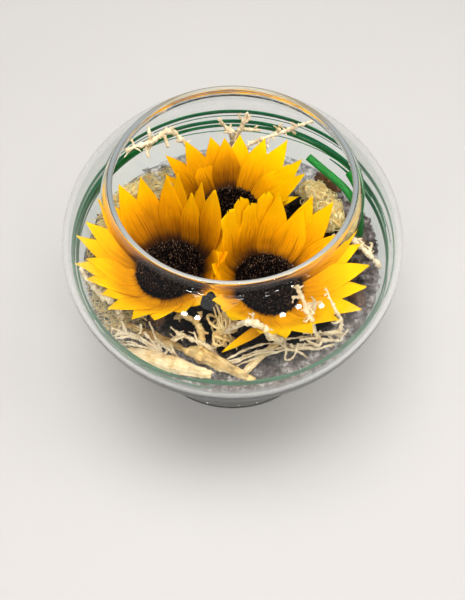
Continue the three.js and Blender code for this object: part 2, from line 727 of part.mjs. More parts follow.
for (const flower of FLOWERS) {
  soil = soil.subtract(inFrame(calyxBody(flower, SEAT_GAP), flower.frame));
  addPiece(`petals_${flower.name}`, makePetals(flower), "petal");
  addPiece(`disc_${flower.name}`, makeDisc(flower), "disc");
  addPiece(`calyx_${flower.name}`, makeCalyx(flower), "calyx");
}
for (const [name, spray] of Object.entries(SPRAYS)) {
  bed(name, (grow) => fuse(spraySolids(spray, grow)), "twig");
}
for (const [name, points] of Object.entries(DRIFTWOOD)) {
  bed(name, (grow) => stick(points, 7, grow), "twig");
}
Object.entries(LUMPS).forEach(([name, { at, colour }], i) => {
  bed(name, (grow) => lump(at, i * 100, grow), colour);
});
bed("vine_tangle", makeVine, "twig");
GRASS.forEach((strand, i) => addPiece(`grass_${i + 1}`, makeGrass(strand), "grass"));
GRASS_ENDS.forEach((end, i) => bed(`grass_end_${i + 1}`, (grow) => makeGrassEnd(end, grow), "grass"));
addPiece("bark_soil", soil, "soil");
addPiece("glass_bowl", makeBowl(), "glass");

export default part;
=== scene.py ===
import math

import bpy
from mathutils import Euler, Matrix, Vector, noise


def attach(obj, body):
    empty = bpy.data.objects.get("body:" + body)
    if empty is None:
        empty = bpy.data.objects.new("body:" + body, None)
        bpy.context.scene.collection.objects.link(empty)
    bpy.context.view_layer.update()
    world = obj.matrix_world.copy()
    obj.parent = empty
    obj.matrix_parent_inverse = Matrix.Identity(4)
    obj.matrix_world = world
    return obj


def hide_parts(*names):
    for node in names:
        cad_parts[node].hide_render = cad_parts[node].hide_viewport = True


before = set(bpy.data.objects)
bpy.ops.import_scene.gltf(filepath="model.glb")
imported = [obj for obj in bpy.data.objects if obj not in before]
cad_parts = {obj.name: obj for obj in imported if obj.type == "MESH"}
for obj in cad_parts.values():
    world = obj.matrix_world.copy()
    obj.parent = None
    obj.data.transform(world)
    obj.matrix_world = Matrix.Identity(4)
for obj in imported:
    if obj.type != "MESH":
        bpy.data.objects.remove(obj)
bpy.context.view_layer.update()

# Camera
# The photograph looks steeply down into the bowl from the front.

MM = 0.001
CAMERA_PLACE = (0, -338.4, 592.6)
CAMERA_TILT = 31.4
CAMERA_LENS = 59.97


def show(name, data):
    """An object of the scene that shows a camera, a lamp, a mesh or a curve."""
    made = bpy.data.objects.new(name, data)
    bpy.context.scene.collection.objects.link(made)
    return made


camera_data = bpy.data.cameras.new("camera")
camera_data.lens = CAMERA_LENS
camera = show("camera", camera_data)
camera.location = Vector(CAMERA_PLACE) * MM
camera.rotation_euler = (math.radians(CAMERA_TILT), 0, 0)
bpy.context.scene.camera = camera
bpy.context.scene.view_settings.view_transform = "Standard"

# Floor and lights
# A plain pale floor, an even white room that is reflected weakly, two soft lights above and one in
# front, and eight small lamps in front, whose bright spots show on the shoulder of the glass.

FLOOR_HALF = 3000
FLOOR_COLOUR = (0.60, 0.57, 0.538, 1)
ROOM_COLOUR = (0.96, 0.98, 1.0, 1)
ROOM_STRENGTH = 0.45
ROOM_REFLECTED = 0.3
SOFT_LIGHTS = [
    {"at": (-130, 70, 1100), "aim": (0, 0, 100), "size": 800, "power": 8.8},
    {"at": (420, 60, 800), "aim": (30, 20, 90), "size": 400, "power": 1.7},
    {"at": (-150, -650, 900), "aim": (0, -20, 90), "size": 500, "power": 0.8},
]
SMALL_LAMPS = [
    (-390, -724, 954), (87, -794, 978), (373, -732, 956),
    (549, -897, 663), (709, -775, 661), (-528, -894, 687),
    (919, -659, 465), (-390, -959, 694),
]
SMALL_LAMP = {"aim": (0, -70, 150), "size": 70, "power": 0.58}


def add_node(tree, kind, inputs=None, **settings):
    """A node with its settings, its inputs set to plain values or linked to other nodes' sockets."""
    made = tree.nodes.new(kind)
    for key, value in settings.items():
        setattr(made, key, value)
    sockets = {socket.identifier: socket for socket in made.inputs}
    for key, value in (inputs or {}).items():
        if isinstance(value, bpy.types.NodeSocket):
            tree.links.new(value, sockets[key])
        else:
            sockets[key].default_value = value
    return made


def new_finish(name, **principled):
    """A material with one Principled shader, set from socket names written with underscores."""
    material = bpy.data.materials.new(name)
    material.use_nodes = True
    tree = material.node_tree
    tree.nodes.clear()
    values = {key.replace("_", " "): value for key, value in principled.items()}
    shader = add_node(tree, "ShaderNodeBsdfPrincipled", values)
    add_node(tree, "ShaderNodeOutputMaterial", {"Surface": shader.outputs["BSDF"]})
    return material, tree, shader


def add_mesh(name, points, faces, material):
    """A smooth mesh object from points in millimetres."""
    mesh = bpy.data.meshes.new(name)
    mesh.from_pydata([Vector(point) * MM for point in points], [], faces)
    mesh.materials.append(material)
    mesh.shade_smooth()
    return show(name, mesh)


floor_finish = new_finish("floor", Base_Color=FLOOR_COLOUR, Roughness=0.9)[0]
floor_corners = [(x * FLOOR_HALF, y * FLOOR_HALF, 0) for x, y in ((-1, -1), (1, -1), (1, 1), (-1, 1))]
floor = add_mesh("floor", floor_corners, [(0, 1, 2, 3)], floor_finish)

room = bpy.data.worlds.new("room")
room.use_nodes = True
background = room.node_tree.nodes["Background"]
background.inputs["Color"].default_value = ROOM_COLOUR
glossy_ray = add_node(room.node_tree, "ShaderNodeLightPath").outputs["Is Glossy Ray"]
strengths = {"Value": glossy_ray, "To Min": ROOM_STRENGTH, "To Max": ROOM_STRENGTH * ROOM_REFLECTED}
room_strength = add_node(room.node_tree, "ShaderNodeMapRange", strengths).outputs["Result"]
room.node_tree.links.new(room_strength, background.inputs["Strength"])
bpy.context.scene.world = room

for number, light in enumerate(SOFT_LIGHTS + [{"at": place, **SMALL_LAMP} for place in SMALL_LAMPS]):
    lamp = bpy.data.lights.new(f"light_{number}", "AREA")
    lamp.shape = "DISK"
    lamp.size = light["size"] * MM
    lamp.energy = light["power"]
    lamp_object = show(f"light_{number}", lamp)
    lamp_object.location = Vector(light["at"]) * MM
    lamp_object.visible_glossy = number >= len(SOFT_LIGHTS)
    direction = Vector(light["aim"]) - Vector(light["at"])
    lamp_object.rotation_euler = direction.to_track_quat("-Z", "Y").to_euler()

# Glass bowl
# One piece of clear blown glass: a round belly with an open mouth and a rolled lip, drawn in at the bottom
# to a short stem and spread into a round foot while it was hot. The rolled lip's colour is painted
# reflection and refraction.

BOWL_RADIUS = 100
WALL = 3
BELLY_HEIGHT = 107
OUTER_BOTTOM = 20
INNER_BOTTOM = 26
OUTER_SHOULDER = 72
INNER_SHOULDER = OUTER_SHOULDER - WALL
BELLY_POWER = 1.8
BELLY_START = -66
NECK_ANGLE = 45.5
LIP_BEAD = 1.6
LIP_CENTRE = (66.9, 163.4)
LIP_BRIGHT = (4, 10)
FOOT_POINTS = [(0, 3.4), (42, 2.6), (50, 0), (58.6, 0), (59.6, 0.5), (60, 1.4)]
FOOT_FLARE = [(59.3, 2.8), (38, 4.6), (27, 7), (27, 13)]
STEM_TOP = [(27, 13), (27.5, 22)]
BOWL_SEGMENTS = 144
GLASS_SHADOW = (0.975, 0.985, 0.98, 1)
GLASS_COLOURS = [
    (0.1, 0.96, 0.985, 0.975), (0.24, 0.86, 0.965, 0.91), (0.48, 0.87, 0.965, 0.925),
    (0.62, 0.9, 0.965, 0.94), (0.86, 0.975, 0.99, 0.982),
]
# The rolled lip's colour from front to back is painted light: a bright painted highlight at the front,
# grey-blue painted reflections at the sides, and the golden petals behind it painted as if seen through it
# at the back.
LIP_REFLECTION_COLOURS = [
    (0.0, 0.97, 0.95, 0.88), (0.2, 0.86, 0.87, 0.84), (0.4, 0.62, 0.68, 0.67), (0.78, 0.66, 0.7, 0.68),
    (0.9, 0.66, 0.54, 0.34), (1.0, 0.8, 0.76, 0.66),
]


def belly_radius(height, radius, bottom, shoulder):
    """The bowl's radius at a height, for its outer or inner surface."""
    if height < BELLY_HEIGHT:
        depth = min(1, (BELLY_HEIGHT - height) / (BELLY_HEIGHT - bottom))
        return radius * (1 - depth**BELLY_POWER) ** (1 / BELLY_POWER)
    return radius * math.sqrt(max(0, 1 - ((height - BELLY_HEIGHT) / shoulder) ** 2))


def inner_radius(height):
    return belly_radius(height, BOWL_RADIUS - WALL, INNER_BOTTOM, INNER_SHOULDER)


def belly_points(radius, bottom, shoulder, low, high, steps):
    """Points up one surface of the bowl between two turn angles, -90 at the bottom."""
    points = []
    for step in range(steps + 1):
        angle = math.radians(low + (high - low) * step / steps)
        depth = BELLY_HEIGHT - bottom if angle < 0 else shoulder
        height = BELLY_HEIGHT + depth * math.sin(angle)
        points.append((belly_radius(height, radius, bottom, shoulder), height))
    return points


def bezier(points, steps):
    """Points on a Bezier curve of any degree, both ends included."""
    curve = []
    for step in range(steps + 1):
        row = [Vector(point) for point in points]
        while len(row) > 1:
            row = [a.lerp(b, step / steps) for a, b in zip(row, row[1:])]
        curve.append(tuple(row[0]))
    return curve


def lathe(profile, segments):
    """Points and faces of a profile of (radius, height), turned round Z, with poles closed."""
    points, rings, faces = [], [], []
    for radius, height in profile:
        count = 1 if radius < 0.001 else segments
        rings.append(range(len(points), len(points) + count))
        for step in range(count):
            angle = 2 * math.pi * step / segments
            points.append((radius * math.cos(angle), radius * math.sin(angle), height))
    for low, high in zip(rings, rings[1:]):
        for step in range(segments):
            after = (step + 1) % segments
            corners = [(low, step), (low, after), (high, after), (high, step)]
            faces.append(tuple(dict.fromkeys(ring[place % len(ring)] for ring, place in corners)))
    return points, faces


def colour_ramp(tree, factor, stops):
    """A colour ramp over a factor, from (place, red, green, blue) stops."""
    ramp = add_node(tree, "ShaderNodeValToRGB", {"Fac": factor})
    elements = ramp.color_ramp.elements
    elements.remove(elements[1])
    for number, (place, *colour) in enumerate(stops):
        stop = elements.new(place) if number else elements[0]
        stop.position = place
        stop.color = (*colour, 1)
    return ramp.outputs["Color"]


def paint(tree, shader, factor, stops):
    """Colours a shader by a ramp over a factor."""
    tree.links.new(colour_ramp(tree, factor, stops), shader.inputs["Base Color"])


def object_place(tree):
    return add_node(tree, "ShaderNodeTexCoord").outputs["Object"]


def axes(tree, vector):
    return add_node(tree, "ShaderNodeSeparateXYZ", {"Vector": vector}).outputs


def noise_at(tree, vector, scale, detail=4.0, roughness=0.55):
    inputs = {"Vector": vector, "Scale": scale, "Detail": detail, "Roughness": roughness}
    return add_node(tree, "ShaderNodeTexNoise", inputs).outputs["Fac"]


def math_node(tree, operation, *values):
    """One Math node's result, from sockets or numbers."""
    inputs = dict(zip(("Value", "Value_001", "Value_002"), values))
    return add_node(tree, "ShaderNodeMath", inputs, operation=operation).outputs["Value"]


outside = belly_points(BOWL_RADIUS, OUTER_BOTTOM, OUTER_SHOULDER, BELLY_START, NECK_ANGLE, 56)
inside = belly_points(BOWL_RADIUS - WALL, INNER_BOTTOM, INNER_SHOULDER, -90, NECK_ANGLE + 1, 60)
inside[0] = (0, INNER_BOTTOM)
lip = []
for step in range(13):
    angle = math.radians(-20 + 220 * step / 12)
    lip.append((LIP_CENTRE[0] + LIP_BEAD * math.cos(angle), LIP_CENTRE[1] + LIP_BEAD * math.sin(angle)))
bowl_profile = FOOT_POINTS + bezier(FOOT_FLARE, 14) + bezier(STEM_TOP + [outside[0]], 8)[1:]
bowl_profile += outside[1:] + lip + inside[::-1]
lip_start = len(bowl_profile) - len(inside) - len(lip)

glass_finish, glass_tree, glass_shader = new_finish(
    "clear blown glass", Roughness=0.0, IOR=1.45, Transmission_Weight=1.0, Specular_IOR_Level=0.2
)
glass_height = axes(glass_tree, object_place(glass_tree))["Z"]
paint(glass_tree, glass_shader, math_node(glass_tree, "MULTIPLY", glass_height, 8.0), GLASS_COLOURS)
shadow_ray = add_node(glass_tree, "ShaderNodeLightPath").outputs["Is Shadow Ray"]
shadow_pass = add_node(glass_tree, "ShaderNodeBsdfTransparent", {"Color": GLASS_SHADOW}).outputs["BSDF"]
shaders = {"Fac": shadow_ray, "Shader": glass_shader.outputs["BSDF"], "Shader_001": shadow_pass}
glass_mix = add_node(glass_tree, "ShaderNodeMixShader", shaders).outputs["Shader"]
glass_tree.links.new(glass_mix, glass_tree.nodes["Material Output"].inputs["Surface"])

# This lip material paints reflections and refraction into its colour, by where a point lies from front to
# back.
lip_finish, lip_tree, lip_shader = new_finish(
    "lip with painted reflections", Roughness=0.06, IOR=1.45, Transmission_Weight=0.62
)
lip_place = object_place(lip_tree)
lip_back = math_node(lip_tree, "MULTIPLY_ADD", axes(lip_tree, lip_place)["Y"], 7.2, 0.42)
lip_reflection_tone = math_node(lip_tree, "MULTIPLY_ADD", noise_at(lip_tree, lip_place, 40.0, 2.0), 0.16, lip_back)
paint(lip_tree, lip_shader, lip_reflection_tone, LIP_REFLECTION_COLOURS)

glass_bowl = add_mesh("glass_bowl_blown", *lathe(bowl_profile, BOWL_SEGMENTS), glass_finish)
glass_bowl.data.materials.append(lip_finish)
lip_first, lip_last = [(lip_start + step) * BOWL_SEGMENTS for step in LIP_BRIGHT]
for face in glass_bowl.data.polygons[lip_first:lip_last]:
    face.material_index = 1
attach(glass_bowl, "root")
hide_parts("glass_bowl")

# Bark soil
# Dark shredded bark that fills the bowl under the flowers: a bed that follows the glass, with loose shreds
# and crumbs scattered over its top. Near the glass its top is paler, partly dust and partly the glass's
# reflection painted on it, and it turns paler grey towards the back.

SOIL_HEIGHT = 83
SOIL_EDGE_RISE = 2.2
SOIL_BACK_SLOPE = 7
SOIL_WALL_GAP = 0.8
LOOSE_WALL_GAP = 0.3
SOIL_SEGMENTS = 120
SOIL_RINGS = 44
SOIL_SEED = 3
SOIL_COLOURS = [(0.35, 0.002, 0.0013, 0.001), (0.55, 0.009, 0.005, 0.003), (0.75, 0.045, 0.026, 0.016)]
CHIP_COLOURS = [(0.0, 0.002, 0.0013, 0.001), (0.6, 0.02, 0.011, 0.006), (1.0, 0.1, 0.06, 0.036)]
# Pale mottling near the glass: partly dust, partly the glass's reflection painted on the soil.
DUST_AND_REFLECTION_COLOURS = [(0.36, 0.05, 0.035, 0.03), (0.5, 0.24, 0.19, 0.17), (0.64, 0.72, 0.66, 0.62)]
# Paler grey for the back of the soil's top.
BACK_PALE_COLOURS = [(0.38, 0.26, 0.25, 0.245), (0.5, 0.6, 0.59, 0.575), (0.6, 0.92, 0.91, 0.89)]
# What each scatter over the soil is called, how many bits it has, and their length and width
SOIL_BITS = [("soil_chips", 900, 4.6, 2.6), ("soil_shreds", 1500, 3.2, 0.9)]
SOIL_BITS += [("bark_soil_bed", 1350, 1.1, 0.9)]


def ease_in(share):
    share = min(1, max(0, share))
    return share * share * (3 - 2 * share)


def soil_top(x, y):
    clumps = 1.2 * math.sin(x * 0.24 + 1.1) * math.cos(y * 0.21 - 0.4)
    slope = 0.9 * math.sin(x * 0.11 - y * 0.15)
    back = SOIL_BACK_SLOPE * ease_in((y - 36) / 46)
    return SOIL_HEIGHT + clumps + slope - back + SOIL_EDGE_RISE * ease_in((math.hypot(x, y) - 60) / 30)


def keep_inside(piece):
    """Draws in the points of a piece that would stand through the wall of the glass."""
    for vertex in piece.data.vertices:
        most = (inner_radius(vertex.co.z / MM) - LOOSE_WALL_GAP) * MM
        reach = math.hypot(vertex.co.x, vertex.co.y)
        if reach > most > 0:
            vertex.co.x *= most / reach
            vertex.co.y *= most / reach


def combined(tree, x=0.0, y=0.0, z=0.0):
    return add_node(tree, "ShaderNodeCombineXYZ", {"X": x, "Y": y, "Z": z}).outputs[0]


def vector_node(tree, operation, first, second=(0, 0, 0), scale=1.0):
    """One Vector Math node's result."""
    inputs = {"Vector": first, "Vector_001": second, "Scale": scale}
    outputs = add_node(tree, "ShaderNodeVectorMath", inputs, operation=operation).outputs
    return outputs["Value" if operation == "LENGTH" else "Vector"]


def graded(tree, value, less, times, plus=0.0):
    """A value, less an amount, times a factor, plus an amount."""
    return math_node(tree, "MULTIPLY_ADD", math_node(tree, "SUBTRACT", value, less), times, plus)


def clamped(tree, value, most=1.0):
    return add_node(tree, "ShaderNodeClamp", {"Value": value, "Max": most}).outputs["Result"]


def attribute(tree, name, output="Fac"):
    return add_node(tree, "ShaderNodeAttribute", attribute_name=name).outputs[output]


def mix_colours(tree, factor, first, second):
    """The first colour, or the second where a factor is 1."""
    inputs = {"Factor_Float": factor, "A_Color": first, "B_Color": second}
    return add_node(tree, "ShaderNodeMix", inputs, data_type="RGBA").outputs[2]


def relief(tree, shader, height, distance):
    """Bumps a shader's surface by a height field, with its depth in millimetres."""
    bump = add_node(tree, "ShaderNodeBump", {"Height": height, "Distance": distance * MM, "Strength": 1.0})
    tree.links.new(bump.outputs["Normal"], shader.inputs["Normal"])


def geometry_tree(name, inputs):
    """An empty Geometry Nodes tree with named inputs, and the sockets that give their values."""
    kinds = {float: "NodeSocketFloat", int: "NodeSocketInt", type(None): "NodeSocketMaterial"}
    tree = bpy.data.node_groups.new(name, "GeometryNodeTree")
    for way in ("INPUT", "OUTPUT"):
        tree.interface.new_socket("Geometry", in_out=way, socket_type="NodeSocketGeometry")
    for key, value in inputs.items():
        socket = tree.interface.new_socket(key, in_out="INPUT", socket_type=kinds[type(value)])
        if value is not None:
            socket.default_value = value
    return tree, tree.nodes.new("NodeGroupInput").outputs


def finish_tree(tree, given, geometry, keep_base=False):
    """Ends a tree: its copies, and the base if kept, are made real, smooth and given their material."""
    joined = tree.nodes.new("GeometryNodeJoinGeometry")
    for part in [geometry] + [given["Geometry"]] * keep_base:
        tree.links.new(part, joined.inputs["Geometry"])
    real = add_node(tree, "GeometryNodeRealizeInstances", {"Geometry": joined.outputs["Geometry"]})
    smooth = add_node(tree, "GeometryNodeSetShadeSmooth", {"Geometry": real.outputs["Geometry"]})
    inputs = {"Geometry": smooth.outputs["Geometry"], "Material": given["Material"]}
    coloured = add_node(tree, "GeometryNodeSetMaterial", inputs).outputs["Geometry"]
    tree.links.new(coloured, tree.nodes.new("NodeGroupOutput").inputs["Geometry"])


def grown(name, base, tree, values):
    """A plain mesh object from what a tree makes of a base object, which is then removed."""
    modifier = base.modifiers.new("tree", "NODES")
    modifier.node_group = tree
    for item in tree.interface.items_tree:
        if item.in_out == "INPUT" and item.name in values:
            modifier[item.identifier] = values[item.name]
    depsgraph = bpy.context.evaluated_depsgraph_get()
    evaluated = base.evaluated_get(depsgraph)
    mesh = bpy.data.meshes.new_from_object(evaluated, preserve_all_data_layers=True, depsgraph=depsgraph)
    bpy.data.objects.remove(base)
    return show(name, mesh)


def random_value(tree, low, high, seed):
    """A number or a vector by chance for each point or copy."""
    kind, suffix, output = ("FLOAT_VECTOR", "", 0) if isinstance(low, tuple) else ("FLOAT", "_001", 1)
    inputs = {"Min" + suffix: low, "Max" + suffix: high, "Seed": seed}
    return add_node(tree, "FunctionNodeRandomValue", inputs, data_type=kind).outputs[output]


def scattered(tree, given, selection=True):
    """Points scattered over the faces of what a tree is given, and the rotations that stand on them."""
    inputs = {"Mesh": given["Geometry"], "Density": given["Density"], "Seed": given["Seed"]}
    inputs["Selection"] = selection
    return add_node(tree, "GeometryNodeDistributePointsOnFaces", inputs).outputs


def copies(tree, points, instance, rotation, scale):
    inputs = {"Points": points, "Instance": instance, "Rotation": rotation, "Scale": scale}
    return add_node(tree, "GeometryNodeInstanceOnPoints", inputs).outputs["Instances"]


def stored(tree, geometry, name, value, **settings):
    """Geometry with a named attribute stored on it."""
    inputs = {"Geometry": geometry, "Name": name, "Value": value}
    settings = {"data_type": "FLOAT", "domain": "POINT", **settings}
    return add_node(tree, "GeometryNodeStoreNamedAttribute", inputs, **settings).outputs["Geometry"]


def scatter_tree(name, length, width):
    """Scatters small rough shreds over the upward faces of a mesh, and keeps the mesh."""
    tree, given = geometry_tree(
        name, {"Material": None, "Density": 100000.0, "Length": length, "Width": width, "Seed": 1}
    )
    seed = given["Seed"]
    upward = axes(tree, add_node(tree, "GeometryNodeInputNormal").outputs["Normal"])["Z"]
    facing = {"A": upward, "B": 0.3}
    above = add_node(tree, "FunctionNodeCompare", facing, data_type="FLOAT", operation="GREATER_THAN")
    spots = scattered(tree, given, above.outputs["Result"])["Points"]
    grain = add_node(tree, "GeometryNodeMeshIcoSphere", {"Radius": 1.0, "Subdivisions": 1}).outputs["Mesh"]
    size = combined(tree, given["Length"], given["Width"], given["Width"])
    size = vector_node(tree, "MULTIPLY", size, random_value(tree, (0.45, 0.4, 0.3), (1.5, 1.3, 0.8), seed))
    turn = random_value(tree, (-0.35, -0.35, 0.0), (0.35, 0.35, 6.3), seed)
    shreds = copies(tree, spots, grain, turn, size)
    shreds = stored(tree, shreds, "chip", random_value(tree, 0.1, 1.0, seed), domain="INSTANCE")
    finish_tree(tree, given, shreds, keep_base=True)
    return tree


def soil_surface():
    """Nearly black bark, with browner shreds, paler near the glass with dust and painted reflection, and
    paler grey at the back.
    """
    material, tree, shader = new_finish("shredded bark soil", Roughness=0.45, Specular_IOR_Level=0.18)
    place = object_place(tree)
    x, y, z = axes(tree, place)
    chip = math_node(tree, "POWER", attribute(tree, "chip"), 2.0)
    colour = colour_ramp(tree, noise_at(tree, place, 420.0, 6.0, 0.7), SOIL_COLOURS)
    is_chip = math_node(tree, "GREATER_THAN", chip, 0.005)
    colour = mix_colours(tree, is_chip, colour, colour_ramp(tree, chip, CHIP_COLOURS))
    side = math_node(tree, "MULTIPLY_ADD", x, -0.12, vector_node(tree, "LENGTH", combined(tree, x, y)))
    side = graded(tree, noise_at(tree, place, 60.0, 3.0, 0.6), 0.5, 0.08, side)
    upper = clamped(tree, graded(tree, z, 0.069, 200.0))
    # Paler mottling near the glass, more at the left and on the top: partly dust, partly painted reflection
    # of the glass in front of it.
    dust_and_reflection = clamped(tree, graded(tree, side, 0.064, 50.0), 0.75)
    dust_and_reflection = math_node(tree, "MULTIPLY", dust_and_reflection, math_node(tree, "MULTIPLY_ADD", upper, 0.75, 0.25))
    tone = noise_at(tree, place, 190.0, 7.0, 0.7)
    colour = mix_colours(tree, dust_and_reflection, colour, colour_ramp(tree, tone, DUST_AND_REFLECTION_COLOURS))
    # Paler grey towards the back of the top.
    back_paling = math_node(tree, "MULTIPLY", clamped(tree, graded(tree, y, 0.044, 28.0), 0.85), upper)
    colour = mix_colours(tree, back_paling, colour, colour_ramp(tree, tone, BACK_PALE_COLOURS))
    tree.links.new(colour, shader.inputs["Base Color"])
    relief(tree, shader, noise_at(tree, place, 900.0, 8.0, 0.7), 1.2)
    return material


soil_finish = soil_surface()
soil_profile = []
for radius, height in belly_points(BOWL_RADIUS - WALL, INNER_BOTTOM, INNER_SHOULDER, -88, -17, 26):
    soil_profile.append((radius - SOIL_WALL_GAP, height + 0.4))
soil_profile[0] = (0, INNER_BOTTOM + SOIL_WALL_GAP)
soil_edge = soil_profile[-1][0] - 0.4
soil_profile += [(soil_edge * (1 - step / SOIL_RINGS), -1) for step in range(SOIL_RINGS)] + [(0, -1)]
soil_points, soil_faces = lathe(soil_profile, SOIL_SEGMENTS)
shaped_soil = []
for x, y, z in soil_points:
    rough = noise.fractal(Vector((x, y, z)) * 0.11, 1.0, 2.0, 4)
    if z < 0:
        shaped_soil.append((x, y, soil_top(x, y) + 1.6 * rough))
    else:
        inward = 1 - 0.008 * (0.5 + abs(rough))
        shaped_soil.append((x * inward, y * inward, z))
bark_soil = add_mesh("soil_base", shaped_soil, soil_faces, soil_finish)
soil_area = math.pi * (soil_edge * MM) ** 2
for name, count, length, width in SOIL_BITS:
    values = {"Material": soil_finish, "Density": count / soil_area, "Seed": SOIL_SEED}
    bark_soil = grown(name, bark_soil, scatter_tree(name, length * MM, width * MM), values)
keep_inside(bark_soil)
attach(bark_soil, "root")
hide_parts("bark_soil")

# Sunflower petals
# Preserved ray petals in two layers on each head, pressed together into one deep golden cup with a pointed
# edge. Each is thin and matt, ribbed along its length, and veined brown at its base. Their browning also
# holds painted shade: more on the less lit heads, less on each head's sunny side, and darkest at the base,
# where painted shade falls between petals and disc.

# Each head's brown value browns its petals: partly their own colour, partly painted shade, most on the back
# head, which gets least light. The sunny angle is the side of each head that is painted lighter, as if lit.
FLOWERS = {
    "left": {
        "at": (-37, -16, 98), "lean": 10, "towards": 170, "disc": 18.6, "length": 44.5, "seed": 11,
        "pressed": (-75, 18), "brown_and_shade": 0.79, "sunny": 225, "longer": (0.13, 75),
        "lifts": (
            63.466, 65.891, 77.323, 77.387, 75.797, 71.245, 63.4, 54.573, 48.604, 46.975, 48.374,
            51.21, 54.578, 57.177, 58.333, 57.834, 55.53, 52.753, 52.541, 49.778, 49.968, 56.936,
            61.614, 63.459,
        ),
        "set": {
            2: (-7, 1.12), 4: (0, 0.84), 5: (3, 1.06), 6: (-5, 0.97), 7: (4, 1.0), 8: (-2, 1.1),
            9: (0, 1.03), 11: (3, 1.0), 12: (0, 0.95), 13: (2, 1.03), 14: (-8, 1.1), 15: (2, 0.84),
            16: (0, 1.22), 17: (2, 1.1), 18: (8, 1.12), 19: (0, 1.58), 20: (2, 1.4), 21: (0, 1.15),
        },
    },
    "right": {
        "at": (21, -26, 98), "lean": 11, "towards": -15, "disc": 18.6, "length": 46.5, "seed": 37,
        "pressed": (152, 232), "brown_and_shade": 0.52, "sunny": -65, "longer": (0.1, 100),
        "lifts": (
            45.112, 44.622, 46.353, 50.148, 56.05, 62.924, 68.895, 72.524, 74.169, 75.545, 73.155,
            63.876, 61.896, 58.138, 52.173, 45.745, 56.015, 55.082, 54.845, 54.497, 54.201, 53.317,
            51.132, 48.056,
        ),
        "set": {
            0: (0, 1.12), 2: (3, 1.0), 3: (13, 0.97), 4: (2, 0.9), 5: (-5, 0.9), 7: (-2, 0.97),
            8: (-3, 1.03), 9: (-8, 0.93), 10: (-7, 0.97), 14: (-5, 1.12), 18: (0, 0.97),
            19: (-7, 1.04), 20: (-4, 1.1), 22: (-5, 1.02),
        },
        "blunt": {7: 4.8, 8: 5.2, 9: 5.6, 10: 5.6},
    },
    "back": {
        "at": (-1, 28, 98), "lean": 7, "towards": 90, "disc": 16.4, "length": 38.5, "seed": 71,
        "pressed": (-115, -65), "brown_and_shade": 0.86, "sunny": 0, "longer": (0.02, 90),
        "lifts": (
            49.097, 47.619, 48.043, 48.853, 49.75, 50.336, 50.296, 49.81, 49.104, 48.667, 50.425,
            56.526, 65.928, 75.949, 82.899, 86.238, 85.966, 72.179, 71.782, 70.938, 81.286, 75.776,
            66.057, 55.821,
        ),
        "set": {
            0: (2, 1.12), 1: (2, 1.12), 2: (0, 0.9), 3: (3, 1.22), 4: (5, 1.12), 5: (4, 1.0),
            6: (2, 0.9), 7: (2, 0.97), 8: (0, 0.92), 9: (-1, 1.14), 10: (-5, 1.14),
        },
    },
}
PETALS_PER_LAYER = 12
CUP_TIPS = 2 * PETALS_PER_LAYER
CUP_STEPS = 20
CUP_OVERREACH = 6
# How much lighter, as painted light, petals towards a head's sunny side are.
SUNNY_LESS_BROWN = 0.95
PRESSED_LENGTH = 0.62
PETAL_STATIONS = [0, 0.2, 0.4, 0.55, 0.68, 0.78, 0.88, 0.95, 1]
PETAL_HALF_WIDTHS = [4.6, 7.6, 8.8, 8.4, 6.5, 4.7, 2.6, 1.15, 0.12]
PETAL_STEPS = 26
PETAL_COLUMNS = 12
LAYER_GAP = 0.2
PETAL_SHEET = 0.25
PETAL_COLOURS = [
    (0.0, 0.13, 0.038, 0.0003), (0.16, 0.33, 0.11, 0.0002), (0.38, 0.68, 0.26, 0.0001),
    (0.6, 0.87, 0.38, 0.0001), (0.88, 0.93, 0.48, 0.0001), (1.0, 0.95, 0.55, 0.0001),
]
VEIN_BROWN = (0.10, 0.027, 0.003, 1)
# Near-black base of each petal: partly the disc's dark fuzz, partly painted shade where the petals meet the
# disc.
BASE_FUZZ_AND_SHADE = (0.012, 0.006, 0.004, 1)
HANGING_LINE = [(18, -57, 104, 3.0), (8, -62, 100, 3.9), (-6, -67.5, 92, 0.3)]
HANGING_ACROSS = (0.5, -0.55, -0.65)


def draw(number):
    """A fixed draw between 0 and 1 for a whole number, the same in every run."""
    wave = math.sin(number * 12.9898 + 4.1414) * 43758.5453
    return wave - math.floor(wave)


def flower_frame(flower):
    lean = Matrix.Rotation(math.radians(flower["lean"]), 4, "Y")
    spin = Matrix.Rotation(math.radians(flower["towards"]), 4, "Z")
    return Matrix.Translation(flower["at"]) @ spin @ lean @ spin.inverted()


def petal_key(flower, tip):
    return flower["seed"] + 50 * (tip % 2) + tip // 2


def petal_azimuth(flower, tip):
    return 2 * math.pi * (tip / 2 + 0.4 * (draw(petal_key(flower, tip)) - 0.5)) / PETALS_PER_LAYER


def pressed_share(flower, azimuth):
    """1 where another head presses on the cup, and 0 away from there."""
    low, high = flower["pressed"]
    off = abs((math.degrees(azimuth) - (low + high) / 2 + 180) % 360 - 180)
    return ease_in(((high - low) / 2 - off) / 14 + 0.5)


def cup_lines(flower):
    """The cup's (distance out, height, lift angle) at each step of its line under each of its tips."""
    lines = []
    for lift in flower["lifts"]:
        out, up = flower["disc"] - 1.6, -2.0
        line = []
        for step in range(CUP_STEPS + CUP_OVERREACH + 1):
            share = step / CUP_STEPS
            angle = math.radians(10 + (lift - 10) * ease_in(share / 0.3) - 7 * share * share)
            line.append(Vector((out, up, angle)))
            out += math.cos(angle) * flower["length"] / CUP_STEPS
            up += math.sin(angle) * flower["length"] / CUP_STEPS
        lines.append(line)
    return lines


